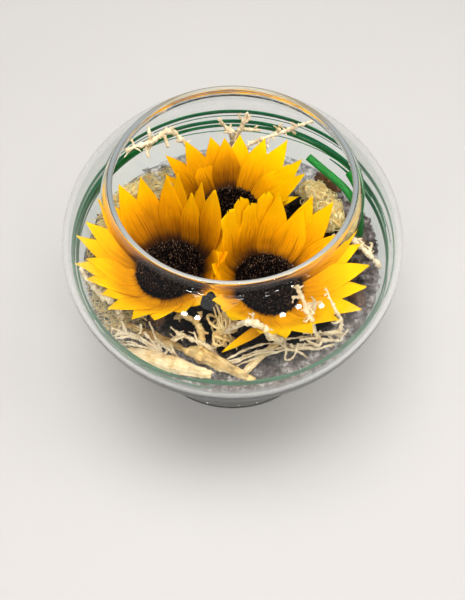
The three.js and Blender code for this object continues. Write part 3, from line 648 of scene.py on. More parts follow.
def cup_at(lines, azimuth, reach):
    """The cup's (distance out, height, lift angle) at an angle round it and a share of its length."""
    turn = azimuth / (2 * math.pi) * CUP_TIPS
    low = math.floor(turn)
    place = min(reach * CUP_STEPS, len(lines[0]) - 1.001)
    step = math.floor(place)
    sides = []
    for tip in (low, low + 1):
        line = lines[tip % CUP_TIPS]
        sides.append(line[step].lerp(line[step + 1], place - step))
    return sides[0].lerp(sides[1], turn - low)


def through(stations, values, share):
    """A smooth value between stations, along a Catmull-Rom curve."""
    last = len(stations) - 1
    low = max(i for i in range(last) if stations[i] <= share or i == 0)
    t = (share - stations[low]) / (stations[low + 1] - stations[low])
    before, a, b, after = [values[min(last, max(0, low + i))] for i in (-1, 0, 1, 2)]
    bend = (2 * before - 5 * a + 4 * b - after) * t * t + (3 * a - before - 3 * b + after) * t**3
    return 0.5 * (2 * a + (b - before) * t + bend)


def petal_sheet(flower, lines, tip):
    """One petal that lies along the cup, as rows of points from its base to its tip."""
    key = petal_key(flower, tip)
    layer = tip % 2
    turn, factor = flower["set"].get(tip, (0, 1))
    blunt = flower.get("blunt", {}).get(tip, 0)
    azimuth = petal_azimuth(flower, tip) + math.radians(turn)
    pressed = pressed_share(flower, azimuth)
    longer, facing = flower["longer"]
    stretch = (0.89 + 0.19 * draw(key + 200)) * (1 if layer else 0.96)
    stretch *= 1 - (1 - PRESSED_LENGTH) * pressed
    stretch *= factor * (1 + longer * max(0, math.cos(azimuth - math.radians(facing))))
    curl = 3.4 * (draw(key + 600) - 0.6) - 4.0 * pressed * (draw(key + 640) - 0.2)
    breadth = 0.94 + 0.14 * draw(key + 800)
    phase = 6.28 * draw(key + 900)
    lean = 0.5 * (draw(key + 700) - 0.5)
    rows = []
    for step in range(PETAL_STEPS + 1):
        share = step / PETAL_STEPS
        half = through(PETAL_STATIONS, PETAL_HALF_WIDTHS, share)
        half = breadth * max(half, blunt * math.sqrt(1.06 - share**40))
        middle = azimuth + 0.03 * math.sin(phase + 3 * share) * share
        out = cup_at(lines, middle, share * stretch).x
        row = []
        for column in range(PETAL_COLUMNS + 1):
            side = 2 * column / PETAL_COLUMNS - 1
            turned = middle + side * half / out
            notch = 1 - 0.045 * blunt * abs(math.sin(2.6 * side + phase)) * share**6 / 4
            out_here, up, angle = cup_at(lines, turned, share * stretch * notch)
            fold = -0.3 * math.exp(-((side / 0.25) ** 2)) * ease_in(share / 0.3) * (1 - share)
            rib = 0.1 * math.cos(5 * math.pi * side) * (1 - share)
            ripple = 0.35 * side * side * math.sin(phase + 8 * share + 2 * side) * share
            raised = (0.5 - layer) * LAYER_GAP * 2 + fold + rib + ripple
            raised += curl * ease_in((share - 0.5) / 0.5)
            raised += (0.16 + 0.5 * lean) * side * ease_in(share / 0.3)
            radius = out_here - math.sin(angle) * raised
            height = up + math.cos(angle) * raised
            row.append(Vector((radius * math.cos(turned), radius * math.sin(turned), height)))
        rows.append(row)
    return rows


def hanging_petal():
    """A petal of the right head that has come loose and hangs down over the soil in front."""
    rows = []
    across = Vector(HANGING_ACROSS).normalized()
    for x, y, z, half in bezier(HANGING_LINE, 12):
        rows.append([Vector((x, y, z)) + across * half * (column / 3 - 1) for column in range(7)])
    return rows


def veined_petal():
    """Golden yellow, browner towards the disc with painted shade in the browning, with fine brown veins and
    a dark base that is partly fuzz and partly painted shade.
    """
    material, tree, shader = new_finish("golden petal", Roughness=0.65, Specular_IOR_Level=0.05)
    across, along = axes(tree, add_node(tree, "ShaderNodeUVMap").outputs["UV"])[:2]
    tone, brown_and_shade = attribute(tree, "tone"), attribute(tree, "brown_and_shade")
    fine = vector_node(tree, "MULTIPLY", combined(tree, across, along, tone), (80, 1.5, 40))
    streak = noise_at(tree, fine, 1.0, 3.0, 0.65)
    patch = noise_at(tree, object_place(tree), 70.0, 3.0, 0.5)
    place = graded(tree, streak, 0.5, 0.3, graded(tree, patch, 0.5, 0.3, along))
    # The brown value darkens the golden ramp: the petals' own colour plus painted shade.
    gold = colour_ramp(tree, graded(tree, brown_and_shade, 0.42, -0.42, place), PETAL_COLOURS)
    fade = math_node(tree, "SUBTRACT", graded(tree, brown_and_shade, 0.5, 0.35, 0.94), along)
    vein = math_node(tree, "MULTIPLY", graded(tree, streak, 0.52, 13.0), fade)
    # The dark base where the petals meet the disc: partly fuzz, partly painted shade.
    fuzz_and_shade = math_node(tree, "MULTIPLY_ADD", streak, 0.5, graded(tree, brown_and_shade, 0.45, 0.16, -0.05))
    fuzz_and_shade = math_node(tree, "MULTIPLY", math_node(tree, "SUBTRACT", fuzz_and_shade, along), 7.0)
    shaded = mix_colours(tree, fuzz_and_shade, mix_colours(tree, vein, gold, VEIN_BROWN), BASE_FUZZ_AND_SHADE)
    tree.links.new(shaded, shader.inputs["Base Color"])
    relief(tree, shader, streak, 0.25)
    return material


def solidify(piece, thickness):
    sheet = piece.modifiers.new("sheet", "SOLIDIFY")
    sheet.thickness = thickness * MM
    sheet.offset = -1


def grid_faces(rows, columns, first=0, backwards=False):
    """Faces of a grid of points that are numbered row by row from a first one."""
    faces = []
    for row in range(rows - 1):
        for column in range(columns - 1):
            corner = first + row * columns + column
            face = (corner, corner + 1, corner + columns + 1, corner + columns)
            faces.append(face[:1] + face[:0:-1] if backwards else face)
    return faces


def thin_sheets(name, sheets, material, thickness, backwards=False):
    """A thin piece from sheets of rows of points, with a UV map across and along each sheet."""
    points, faces, uvs = [], [], []
    for rows in sheets:
        width = len(rows[0])
        faces += grid_faces(len(rows), width, len(points), backwards)
        for number, row in enumerate(rows):
            points += row
            uvs += [(column / (width - 1), number / (len(rows) - 1)) for column in range(width)]
    piece = add_mesh(name, points, faces, material)
    uv_layer = piece.data.uv_layers.new(name="UVMap")
    for loop in piece.data.loops:
        uv_layer.data[loop.index].uv = uvs[loop.vertex_index]
    solidify(piece, thickness)
    return piece


petal_finish = veined_petal()
for side_name, flower in FLOWERS.items():
    place = flower_frame(flower)
    lines = cup_lines(flower)
    sheets = []
    for tip in range(CUP_TIPS):
        sheets.append([[place @ point for point in row] for row in petal_sheet(flower, lines, tip)])
    if side_name == "right":
        sheets.append(hanging_petal())
    petals = thin_sheets(f"petals_{side_name}_layered", sheets, petal_finish, PETAL_SHEET)
    tones, browns_and_shades = [], []
    for tip, rows in enumerate(sheets):
        tone = draw(flower["seed"] + tip + 1000)
        # Petals towards a head's sunny side are painted lighter, as if lit. The brown value also carries
        # painted shade.
        sunny = max(0, math.cos(petal_azimuth(flower, tip) - math.radians(flower["sunny"]))) ** 0.6
        brown_and_shade = flower["brown_and_shade"] - SUNNY_LESS_BROWN * sunny + 0.3 * (tone - 0.5)
        tones += [tone] * len(rows) * len(rows[0])
        browns_and_shades += [brown_and_shade] * len(rows) * len(rows[0])
    petals.data.attributes.new("tone", "FLOAT", "POINT").data.foreach_set("value", tones)
    petals.data.attributes.new("brown_and_shade", "FLOAT", "POINT").data.foreach_set("value", browns_and_shades)
    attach(petals, "root")
    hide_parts(f"petals_{side_name}")

# Seed discs
# The dark middle of each head: hundreds of tiny bristly florets, packed in the spirals that
# they grew in, on a low dome.

DISC_FLORETS = 1500
DISC_FLORETS_RIM = 18.6
DISC_OVERHANG = 1.1
DISC_DOME = 5.2
FLORET_HEIGHT = 2.2
FLORET_RADIUS = 0.6
GOLDEN_ANGLE = 2.399963
DISC_COLOURS = [
    (0.0, 0.0015, 0.001, 0.001), (0.36, 0.006, 0.003, 0.002), (0.45, 0.10, 0.058, 0.036),
    (0.57, 0.36, 0.235, 0.15),
]


def jittered(tree, rotation, tilt, seed):
    """A rotation, spun about its own axis and tilted a little by chance."""
    spin = random_value(tree, (-tilt, -tilt, 0.0), (tilt, tilt, 6.3), seed)
    inputs = {"Rotation": rotation, "Rotate By": spin}
    return add_node(tree, "FunctionNodeRotateRotation", inputs, rotation_space="LOCAL").outputs["Rotation"]


def floret_tree():
    """Stands florets in a spiral on a dome, each square to its surface."""
    tree, given = geometry_tree(
        "floret spiral",
        {"Material": None, "Florets": 1000, "Rim": 0.018, "Height": 0.002, "Radius": 0.0006, "Seed": 5},
    )
    seed = given["Seed"]
    index = add_node(tree, "GeometryNodeInputIndex").outputs["Index"]
    share = math_node(tree, "DIVIDE", index, given["Florets"])
    reach = math_node(tree, "MULTIPLY", math_node(tree, "SQRT", share), given["Rim"])
    angle = math_node(tree, "MULTIPLY", index, GOLDEN_ANGLE)
    x, y = [math_node(tree, "MULTIPLY", reach, math_node(tree, wave, angle)) for wave in ("COSINE", "SINE")]
    spots = {"Count": given["Florets"], "Position": combined(tree, x, y, 0.02)}
    spots = add_node(tree, "GeometryNodePoints", spots).outputs["Geometry"]
    down = {"Target Geometry": given["Geometry"], "Ray Direction": (0, 0, -1), "Ray Length": 0.1}
    hit = add_node(tree, "GeometryNodeRaycast", down).outputs
    lowered = {"Geometry": spots, "Position": hit["Hit Position"]}
    lowered = add_node(tree, "GeometryNodeSetPosition", lowered).outputs["Geometry"]
    cone = {"Vertices": 5, "Side Segments": 2, "Radius Top": 0.15, "Radius Bottom": 1.0}
    cone["Depth"] = given["Height"]
    floret = add_node(tree, "GeometryNodeMeshCone", cone, fill_type="NONE").outputs["Mesh"]
    height = axes(tree, add_node(tree, "GeometryNodeInputPosition").outputs["Position"])["Z"]
    floret = stored(tree, floret, "tip", math_node(tree, "DIVIDE", height, given["Height"]))
    square = {"Vector": hit["Hit Normal"]}
    square = add_node(tree, "FunctionNodeAlignRotationToVector", square, axis="Z").outputs["Rotation"]
    width = math_node(tree, "MULTIPLY", random_value(tree, 0.7, 1.25, seed), given["Radius"])
    scale = combined(tree, width, width, random_value(tree, 0.6, 1.25, seed))
    florets = copies(tree, lowered, floret, jittered(tree, square, 0.35, seed), scale)
    finish_tree(tree, given, florets, keep_base=True)
    return tree


def onto_flower(piece, flower):
    piece.data.transform(Matrix.Scale(MM, 4) @ flower_frame(flower) @ Matrix.Scale(1 / MM, 4))


disc_finish, disc_tree, disc_shader = new_finish(
    "dark bristly florets", Roughness=0.75, Specular_IOR_Level=0.1
)
disc_speck = noise_at(disc_tree, object_place(disc_tree), 700.0, 2.0, 0.6)
disc_light = math_node(disc_tree, "MULTIPLY", attribute(disc_tree, "tip"), disc_speck)
paint(disc_tree, disc_shader, disc_light, DISC_COLOURS)
spiral = floret_tree()
for side_name, flower in FLOWERS.items():
    rim = flower["disc"] + DISC_OVERHANG
    dome = [(0, 0), (flower["disc"] - 1.2, 0)]
    for step in range(16):
        radius = rim * (1 - step / 16)
        bulge = (DISC_DOME + 0.6) * math.sqrt(1 - (radius / (rim + 0.4)) ** 2)
        dome.append((radius, bulge - 0.6 - 1.0 * math.exp(-((radius / 5) ** 2))))
    dome.append((0, DISC_DOME - 1.0))
    values = {
        "Material": disc_finish, "Florets": round(DISC_FLORETS * (rim / DISC_FLORETS_RIM) ** 2),
        "Rim": rim * MM, "Height": FLORET_HEIGHT * MM, "Radius": FLORET_RADIUS * MM, "Seed": flower["seed"],
    }
    base = add_mesh("dome", *lathe(dome, 48), disc_finish)
    disc = grown(f"disc_{side_name}_florets", base, spiral, values)
    onto_flower(disc, flower)
    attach(disc, "root")
    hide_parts(f"disc_{side_name}")

# Calyxes
# The dull green underside of each head: a shallow cup with pointed bracts in two rows, on a
# short cut stem that is pushed into the soil.

CALYX_BRACTS = 20
BRACT_STATIONS = [0, 0.25, 0.5, 0.8, 1]
BRACT_HALF_WIDTHS = [2.2, 2.9, 2.5, 1.4, 0.15]
BRACT_SIDES = (-1, -0.5, 0, 0.5, 1)
BRACT_ROWS = 8
CALYX_SHEET = 0.5
CALYX_COLOURS = [(0.25, 0.045, 0.075, 0.018), (0.6, 0.11, 0.15, 0.04), (0.9, 0.2, 0.22, 0.08)]

calyx_finish, calyx_tree, calyx_shader = new_finish("hairy green calyx", Roughness=0.8, Sheen_Weight=0.3)
calyx_tone = noise_at(calyx_tree, object_place(calyx_tree), 350.0, 5.0, 0.6)
paint(calyx_tree, calyx_shader, calyx_tone, CALYX_COLOURS)
relief(calyx_tree, calyx_shader, noise_at(calyx_tree, object_place(calyx_tree), 1500.0, 3.0), 0.4)
for side_name, flower in FLOWERS.items():
    rim = flower["disc"] - 2.4
    section = [(0, -5.3), (rim, -5.3), (rim + 0.9, -6.2)]
    section += bezier([(rim + 0.9, -6.2), (rim - 2, -10), (8, -11), (4.4, -13), (4, -17)], 10)[1:]
    section += [(3.8, -37), (3.4, -38), (0, -38)]
    points, faces = lathe(section[::-1], 40)
    for number in range(CALYX_BRACTS):
        azimuth = 2 * math.pi * (number + 0.3 * draw(flower["seed"] + number)) / CALYX_BRACTS
        reach = 11 + 4 * draw(flower["seed"] + number + 60)
        drop = 1.1 * (number % 2)
        spin = Matrix.Rotation(azimuth, 4, "Z")
        faces += grid_faces(BRACT_ROWS + 1, len(BRACT_SIDES), len(points))
        for row in range(BRACT_ROWS + 1):
            share = row / BRACT_ROWS
            out = flower["disc"] - 4.4 + reach * share
            half = through(BRACT_STATIONS, BRACT_HALF_WIDTHS, share)
            for side in BRACT_SIDES:
                height = -6.1 - drop + 3.2 * share * share + 0.5 * side * side
                points.append(tuple(spin @ Vector((out, side * half, height))))
    calyx = add_mesh(f"calyx_{side_name}_bracts", points, faces, calyx_finish)
    onto_flower(calyx, flower)
    solidify(calyx, CALYX_SHEET)
    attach(calyx, "root")
    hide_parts(f"calyx_{side_name}")

# Grass blades
# Long, dyed green blades bent round inside the glass by their own spring, a few deep, and two
# bright cut ends that have sprung clear of it. Each long blade is split, with a thin twin beside it.

# Start and end angles, heights and widths from end to end, how deep, the twin's shifts and width
GRASS = [
    (206, -24, (101, 112, 105), (2.2, 3.4, 2.8), 0, (5, -3.0, 4, 0.8)),
    (214, 8, (103, 104.5, 101), (6.6, 3.0, 5.4), 1, (-6, -3.2, 5, 1.1)),
    (172, 24, (98, 99.5, 97.5), (5.6, 2.2, 3.2), 0, (5, -3.6, 6, 0.6)),
    (262, 132, (106, 100.5, 108.5), (3.6, 3.6, 3.6), 2, (-4, 4.5, -3, 1.6)),
    (48, -100, (98, 100.5, 108), (3.4, 3.6, 3.6), 2, (5, 4, -5, 1.2)),
    (-8, -140, (97, 109, 101), (2.8, 2.8, 2.8), 1, (4, -4, 3, 1.0)),
    (-96, -148, (104.5, 103, 97), (2.6, 2.6, 2.6), 0, (-4, 3, 3, 1.2)),
]
FRESH_GRASS = 3
GRASS_ENDS = [
    {
        "points": [
            (47, 60, 110), (54, 53, 109), (62, 46, 107), (69, 40, 104), (75, 33, 99), (79, 27, 90),
            (80, 24, 82),
        ],
        "width": 4.4, "facing": (0, -0.5, 0.87),
    },
    {
        "points": [
            (71, 47, 111), (75, 39, 109), (77, 31, 106), (78, 24, 99), (79, 20, 88), (79, 18, 81),
        ],
        "width": 4.2, "facing": (-0.5, -0.6, 0.6),
    },
]
GRASS_WALL_GAP = 1.2
GRASS_SPACING = 1.3
GRASS_STEP = 2.5
GRASS_COLUMNS = 6
GRASS_SHEET = 0.4
TWIN_INSET = 0.6


def ribbed_grass(name, deep, bright):
    """Glossy dyed grass with fine ribs along it and a lighter streak."""
    material, tree, shader = new_finish(name, Roughness=0.38)
    uv = add_node(tree, "ShaderNodeUVMap").outputs["UV"]
    ribs = noise_at(tree, vector_node(tree, "MULTIPLY", uv, (9, 14, 1)), 1.0, 4.0, 0.6)
    paint(tree, shader, ribs, [(0.3, *deep), (0.62, *bright)])
    relief(tree, shader, ribs, 0.35)
    return material


def eased(values, share):
    """A value from three, at the start, middle and end of a blade."""
    a, b, c = values
    return a * (1 - share) * (1 - 2 * share) + b * 4 * share * (1 - share) + c * share * (2 * share - 1)


def wound_blade(start, end, heights, widths, inset):
    """Rows of points across a blade that is bent round inside the glass."""
    steps = math.ceil(abs(end - start) / GRASS_STEP)
    rows = []
    for step in range(steps + 1):
        share = step / steps
        angle = math.radians(start + (end - start) * share)
        half = eased(widths, share) / 2 * min(1, 0.25 + 5 * share, 0.25 + 5 * (1 - share))
        row = []
        for column in range(GRASS_COLUMNS + 1):
            side = 2 * column / GRASS_COLUMNS - 1
            height = eased(heights, share) + side * half
            radius = inner_radius(height) - inset - 0.35 * (1 - side * side)
            row.append((radius * math.cos(angle), radius * math.sin(angle), height))
        rows.append(row)
    return rows


def smooth_path(points, steps):
    """A Catmull-Rom path through points, with so many steps between each two."""
    places = list(range(len(points)))
    path = []
    for number in range(places[-1] * steps + 1):
        path.append(Vector([through(places, values, number / steps) for values in zip(*points)]))
    return path


def sprung_end(points, width, facing):
    """Rows of points across a cut end of grass that has sprung clear of the glass."""
    path = smooth_path(points, 6)
    rows = []
    for step, centre in enumerate(path):
        along = (path[min(step + 1, len(path) - 1)] - path[max(step - 1, 0)]).normalized()
        across = along.cross(Vector(facing)).normalized()
        lift = across.cross(along)
        row = []
        for column in range(GRASS_COLUMNS + 1):
            side = 2 * column / GRASS_COLUMNS - 1
            row.append(tuple(centre + across * side * width / 2 + lift * 0.7 * (1 - side * side)))
        rows.append(row)
    return rows


grass_finish = ribbed_grass("deep green grass", (0.002, 0.035, 0.012), (0.008, 0.165, 0.055))
fresh_grass_finish = ribbed_grass("fresh green grass", (0.001, 0.06, 0.008), (0.005, 0.23, 0.03))
cut_grass_finish = ribbed_grass("bright cut grass", (0.0005, 0.05, 0.006), (0.0008, 0.20, 0.012))
for number, (start, end, heights, widths, depth, (*shifts, twin_width)) in enumerate(GRASS, 1):
    inset = GRASS_WALL_GAP + depth * GRASS_SPACING
    twin_heights = [height + shift for height, shift in zip(heights, shifts)]
    twin_start = start + 0.12 * (end - start)
    strands = [
        wound_blade(start, end, heights, widths, inset),
        wound_blade(twin_start, end - 9, twin_heights, [twin_width] * 3, inset + TWIN_INSET),
    ]
    finish = fresh_grass_finish if number == FRESH_GRASS else grass_finish
    blade = thin_sheets(f"grass_{number}_blade", strands, finish, GRASS_SHEET, backwards=True)
    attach(blade, "root")
    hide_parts(f"grass_{number}")
for number, end in enumerate(GRASS_ENDS, 1):
    rows = sprung_end(**end)
    blade = thin_sheets(f"grass_end_{number}_cut", [rows], cut_grass_finish, GRASS_SHEET, backwards=True)
    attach(blade, "root")
    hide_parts(f"grass_end_{number}")

# Bleached twigs
# Knobbly roots and twigs, bleached cream, that stand in the soil round the flowers. Side
# twigs grow out of each, and all taper to broken tips. Thin straws lie beside some.

SPRAYS = {
    "back_left": {
        "main": [(-18, 58, 74, 2.0), (-20, 63, 100, 2.0), (-30, 71, 112, 2.2), (-40, 78, 116, 2.3),
                 (-46, 71, 116, 2.3), (-52, 66, 116, 2.1), (-59, 64, 115, 1.7), (-66, 61, 115, 1.2)],
        "side": [(0.35, -4, 2, 6, 1.2), (0.5, 3, -6, -6, 1.3), (0.62, -5, -6, -5, 1.4),
                 (0.68, -1, 4, 9, 1.4),
                 (0.75, 2, -6, -6, 1.2), (0.88, -3, 4, 5, 1.1), (0.92, -4, -4, -3, 0.9)],
    },
    "back_centre": {
        "main": [(-6, 70, 74, 1.8), (-5, 76, 94, 1.9), (2, 80, 106, 2.0), (7, 82, 115, 1.8),
                 (9, 82, 126, 1.1)],
        "side": [(0.45, -9, 2, 18, 1.3), (0.55, -11, 2, 8, 1.2), (0.66, 12, -2, 1, 1.3),
                 (0.78, 4, 1, 6, 1.1), (0.8, -4, 1, 7, 0.9)],
    },
    "back_right": {
        "main": [(12, 64, 74, 1.6), (7, 66, 98, 1.6), (9, 69, 110, 1.6), (17, 71, 114, 1.7),
                 (32, 72, 120, 1.9), (41, 72, 126, 1.5), (49, 71, 130, 1.0)],
        "side": [(0.52, 3, -4, -5, 1.2), (0.62, 1, 2, 7, 1.3), (0.72, 4, 2, -6, 1.3), (0.86, 5, 0, 2, 1.0),
                 (0.8, -3, -2, 5, 1.0)],
    },
    "left_twig": {
        "main": [(-64, -43, 76, 2.2), (-66, -41, 92, 2.4), (-70, -37, 97, 2.8), (-77, -33, 99, 2.8),
                 (-86, -24, 100, 2.2), (-91, -13, 101, 1.3)],
        "side": [(0.45, 2, 4, 7, 1), (0.62, 3, 2, 5, 0.8)],
    },
    "right_twig": {
        "main": [(58, 20, 78, 1.4), (62, 6, 100, 1.4), (66, 1, 110, 1.6), (73, -4, 108, 2.0),
                 (80, -8, 104, 2.2), (86, -12, 100, 1.7), (88, -14, 97, 1.2)],
        "side": [(0.55, -5, 3, 3, 1.1), (0.66, 3, 5, 2, 1)],
        "straws": [[(66, 3, 109, 0.6), (74, -2, 110, 0.6), (82, -6, 104, 0.5)]],
    },
    "front_root": {
        "main": [(-9, -65, 78, 2.0), (-11, -64, 90, 2.2), (-20, -62, 94, 1.9), (-27, -59, 96, 1.6),
                 (-32, -58, 97, 1.1)],
        "side": [(0.75, -7, -5, 3, 1.2), (0.85, -6, -4, 1, 1.0), (0.9, -5, 3, 3, 0.9), (0.5, -2, 5, 3, 1.0)],
    },
    "front_branch": {
        "main": [(-34, -40, 78, 2), (-31, -41, 91, 2), (-25, -46, 94, 2.2), (-19, -51, 94, 2.4),
                 (-17, -60, 92, 2.6), (-19, -67, 88, 3)],
        "side": [(0.55, 3, 6, 4, 1.2), (0.7, 4, -2, 3, 1.0)],
        "tan": True,
    },
    "front_fork": {
        "main": [(32, -60, 78, 1.0), (30, -60, 90, 1.6), (26, -64, 100, 2.3), (21, -68.5, 114, 2.7),
                 (15, -69, 125, 2.7), (10, -69, 129, 2.3), (5.5, -67.5, 125, 2.1), (1, -62, 112, 1.7),
                 (-5, -56, 94, 1.4)],
        "side": [(0.36, 3, -3, 2, 1.0), (0.62, 1, 4, 3, 0.9)],
        "straws": [
            [(-3, -72, 88, 0.7), (10, -68, 91, 0.8), (24, -65, 92, 0.8), (39, -63, 92, 0.7),
             (60, -60, 92, 0.5)],
            [(-1, -73, 88, 0.6), (9, -70, 92, 0.7), (24, -67, 93, 0.6), (43, -66, 92, 0.5)],
            [(-3, -70, 88, 0.6), (8, -65, 93, 0.6), (24, -63, 95, 0.6), (42, -59, 96, 0.5),
             (57, -57, 93, 0.4)],
            [(2, -74, 88, 0.5), (14, -70, 90, 0.6), (33, -66, 94, 0.5), (50, -64, 92, 0.5)],
            [(28, -61, 98, 0.7), (31, -66, 96, 0.7), (29, -73, 91, 0.6), (35, -71, 92, 0.7),
             (37, -65, 97, 0.7)],
            [(33, -64, 95, 0.6), (38, -70, 93, 0.6), (41, -64, 97, 0.5)],
            [(22, -60, 96, 0.6), (27, -66, 97, 0.6), (36, -68, 94, 0.6), (43, -70, 90, 0.5)],
        ],
    },
    "front_fan": {
        "main": [(-44, -63, 78, 1.8), (-45, -63, 90, 1.8), (-52, -60, 93, 1.6), (-62, -57, 95, 1.2),
                 (-69, -54, 96, 0.9)],
        "side": [(0.55, 2, 4, 10, 1.1), (0.65, -9, -4, 3, 1), (0.7, -3, 5, 7, 1), (0.8, -6, -4, 1, 0.9)],
        "straws": [
            [(-41, -66, 89, 0.8), (-54, -62, 92, 0.8), (-66, -62, 91, 0.5)],
            [(-42, -65, 90, 0.8), (-50, -61, 95, 0.7), (-58, -58, 98, 0.5)],
            [(-41, -65, 90, 0.9), (-46, -62, 95, 0.9), (-50, -58, 99, 0.6)],
            [(-40, -66, 90, 0.9), (-44, -60, 97, 0.8), (-47, -54, 103, 0.5)],
            [(-42, -66, 89, 0.6), (-55, -59, 94, 0.6), (-67, -55, 97, 0.4)],
            [(-38, -67, 89, 0.7), (-48, -65, 92, 0.7), (-61, -61, 93, 0.4)],
        ],
    },
    "front_twig": {
        "main": [(-33, -68, 78, 1.1), (-33, -68, 90, 1.1), (-38, -66, 95, 1.0), (-42, -63, 99, 0.7)],
        "side": [(0.6, -1, -5, 3, 0.8), (0.8, 3, -3, 3, 0.7)],
        "straws": [[(-35, -65, 96, 0.6), (-34, -67, 92, 0.6), (-31, -70, 88, 0.5)]],
    },
    "right_coral": {
        "main": [(50, -64, 76, 1.5), (49, -61, 92, 1.6), (47, -59, 101, 1.7), (43, -55, 110, 1.8),
                 (40, -52, 118, 1.7), (37, -49, 125, 1.7), (34, -46, 131, 1.2)],
        "side": [(0.5, 3, 4, 9, 1.1), (0.62, 4, 1, 7, 1.0), (0.8, -5, -2, 2, 1.1), (0.9, -4, 2, 2, 1.0),
                 (0.35, -7, -3, 2, 1.3)],
        "straws": [
            [(43, -53, 114, 0.7), (47, -51, 117, 0.7), (43, -49, 123, 0.6)],
            [(38, -62, 96, 0.9), (45, -61, 98, 1.0), (53, -62, 96, 0.9), (60, -61, 95, 0.7)],
            [(33, -65, 93, 0.7), (42, -66, 93, 0.8), (50, -66, 92, 0.7), (58, -63, 93, 0.6)],
        ],
    },
    "right_loop": {
        "main": [(62, -56, 76, 1.2), (61, -57, 90, 1.3), (60, -60, 101, 1.4), (61, -56, 108, 1.4),
                 (58, -54, 113, 1.1), (55, -51, 118, 0.9), (51, -45, 125, 0.6)],
        "side": [(0.35, -7, 0, -1, 1.2), (0.5, -5, -3, 2, 0.9)],
        "straws": [
            [(49, -58, 98, 1.1), (54, -60, 99, 1.2), (60, -60, 102, 1.1)],
            [(52, -57, 97, 0.7), (58, -63, 95, 0.8), (64, -60, 95, 0.7), (60, -55, 97, 0.6)],
            [(42, -62, 97, 0.7), (46, -66, 95, 0.8), (52, -64, 95, 0.7), (48, -59, 98, 0.6)],
            [(56, -59, 100, 0.6), (63, -62, 96, 0.7), (66, -55, 96, 0.6)],
        ],
    },
}
TWIG_COLOURS = [
    (0.34, 0.26, 0.14, 0.05), (0.45, 0.56, 0.39, 0.19), (0.56, 0.82, 0.66, 0.42),
    (0.72, 0.96, 0.87, 0.68),
]
TAN_COLOURS = [
    (0.34, 0.2, 0.09, 0.02), (0.46, 0.5, 0.29, 0.08), (0.57, 0.76, 0.52, 0.2),
    (0.74, 0.95, 0.78, 0.44),
]
TWIG_SLIMMING = 0.76
SPUR_SPACING = 2.4


def captured(tree, geometry, kind, value):
    """A geometry and a value that is kept on it, as the first two outputs of a node."""
    node = add_node(tree, "GeometryNodeCaptureAttribute", {"Geometry": geometry})
    node.capture_items.new(kind, "Kept")
    tree.links.new(value, node.inputs[1])
    return node.outputs


def round_profile(tree, sides):
    inputs = {"Resolution": sides, "Radius": 1.0}
    return add_node(tree, "GeometryNodeCurvePrimitiveCircle", inputs).outputs["Curve"]


def tube_along(tree, line, profile, scale):
    """A tube of a profile along a line, closed at its ends."""
    inputs = {"Curve": line, "Profile Curve": profile, "Scale": scale, "Fill Caps": True}
    return add_node(tree, "GeometryNodeCurveToMesh", inputs).outputs["Mesh"]


def stick_tree():
    """Turns given lines into wooden sticks: swaying, knobbly, grooved, and with their own grain."""
    tree, given = geometry_tree(
        "wooden stick",
        {
            "Material": None, "Step": 0.7 * MM, "Sides": 10, "Sway": 1.0 * MM, "Knots": 0.5,
            "Knot Size": 220.0, "Groove": 0.4 * MM, "Groove Width": 1.6, "Groove Length": 400.0,
        },
    )
    line = {"Curve": given["Geometry"], "Length": given["Step"]}
    line = add_node(tree, "GeometryNodeResampleCurve", line, mode="LENGTH").outputs["Curve"]
    here = add_node(tree, "GeometryNodeInputPosition").outputs["Position"]
    wander = add_node(tree, "ShaderNodeTexNoise", {"Vector": here, "Scale": 150.0, "Detail": 1.0})
    sway = vector_node(tree, "SUBTRACT", wander.outputs["Color"], (0.5, 0.5, 0.5))
    sway = vector_node(tree, "SCALE", sway, scale=given["Sway"])
    bent = add_node(tree, "GeometryNodeSetPosition", {"Geometry": line, "Offset": sway}).outputs["Geometry"]
    along = captured(tree, bent, "FLOAT", add_node(tree, "GeometryNodeSplineParameter").outputs["Length"])
    around = captured(tree, round_profile(tree, given["Sides"]), "VECTOR", here)
    knots = math_node(tree, "MULTIPLY", given["Knots"], 2.0)
    swell = graded(tree, noise_at(tree, here, given["Knot Size"], 2.0), 0.5, knots, 1.0)
    thick = math_node(tree, "MULTIPLY", swell, add_node(tree, "GeometryNodeInputRadius").outputs["Radius"])
    tube = tube_along(tree, along[0], around[0], thick)
    drawn = combined(tree, z=math_node(tree, "MULTIPLY", along[1], given["Groove Length"]))
    grain = vector_node(tree, "SCALE", around[1], scale=given["Groove Width"])
    grain = vector_node(tree, "ADD", grain, drawn)
    tube = stored(tree, tube, "grain", grain, data_type="FLOAT_VECTOR")
    depth = graded(tree, noise_at(tree, grain, 1.0, 4.0, 0.6), 0.5, 2.0)
    depth = math_node(tree, "MULTIPLY", depth, given["Groove"])
    outward = add_node(tree, "GeometryNodeInputNormal").outputs["Normal"]
    outward = vector_node(tree, "SCALE", outward, scale=depth)
    grooved = add_node(tree, "GeometryNodeSetPosition", {"Geometry": tube, "Offset": outward})
    finish_tree(tree, given, grooved.outputs["Geometry"])
    return tree


def bleached_wood(name, colours, roughness=0.8):
    """Bleached wood with darker grain lines and pits that follow the stick."""
    material, tree, shader = new_finish(name, Roughness=roughness)
    lines = noise_at(tree, attribute(tree, "grain", "Vector"), 2.2, 5.0, 0.65)
    stains = math_node(tree, "MULTIPLY", noise_at(tree, object_place(tree), 160.0, 3.0), 0.5)
    paint(tree, shader, math_node(tree, "MULTIPLY_ADD", lines, 0.6, stains), colours)
    relief(tree, shader, lines, 0.5)
    return material


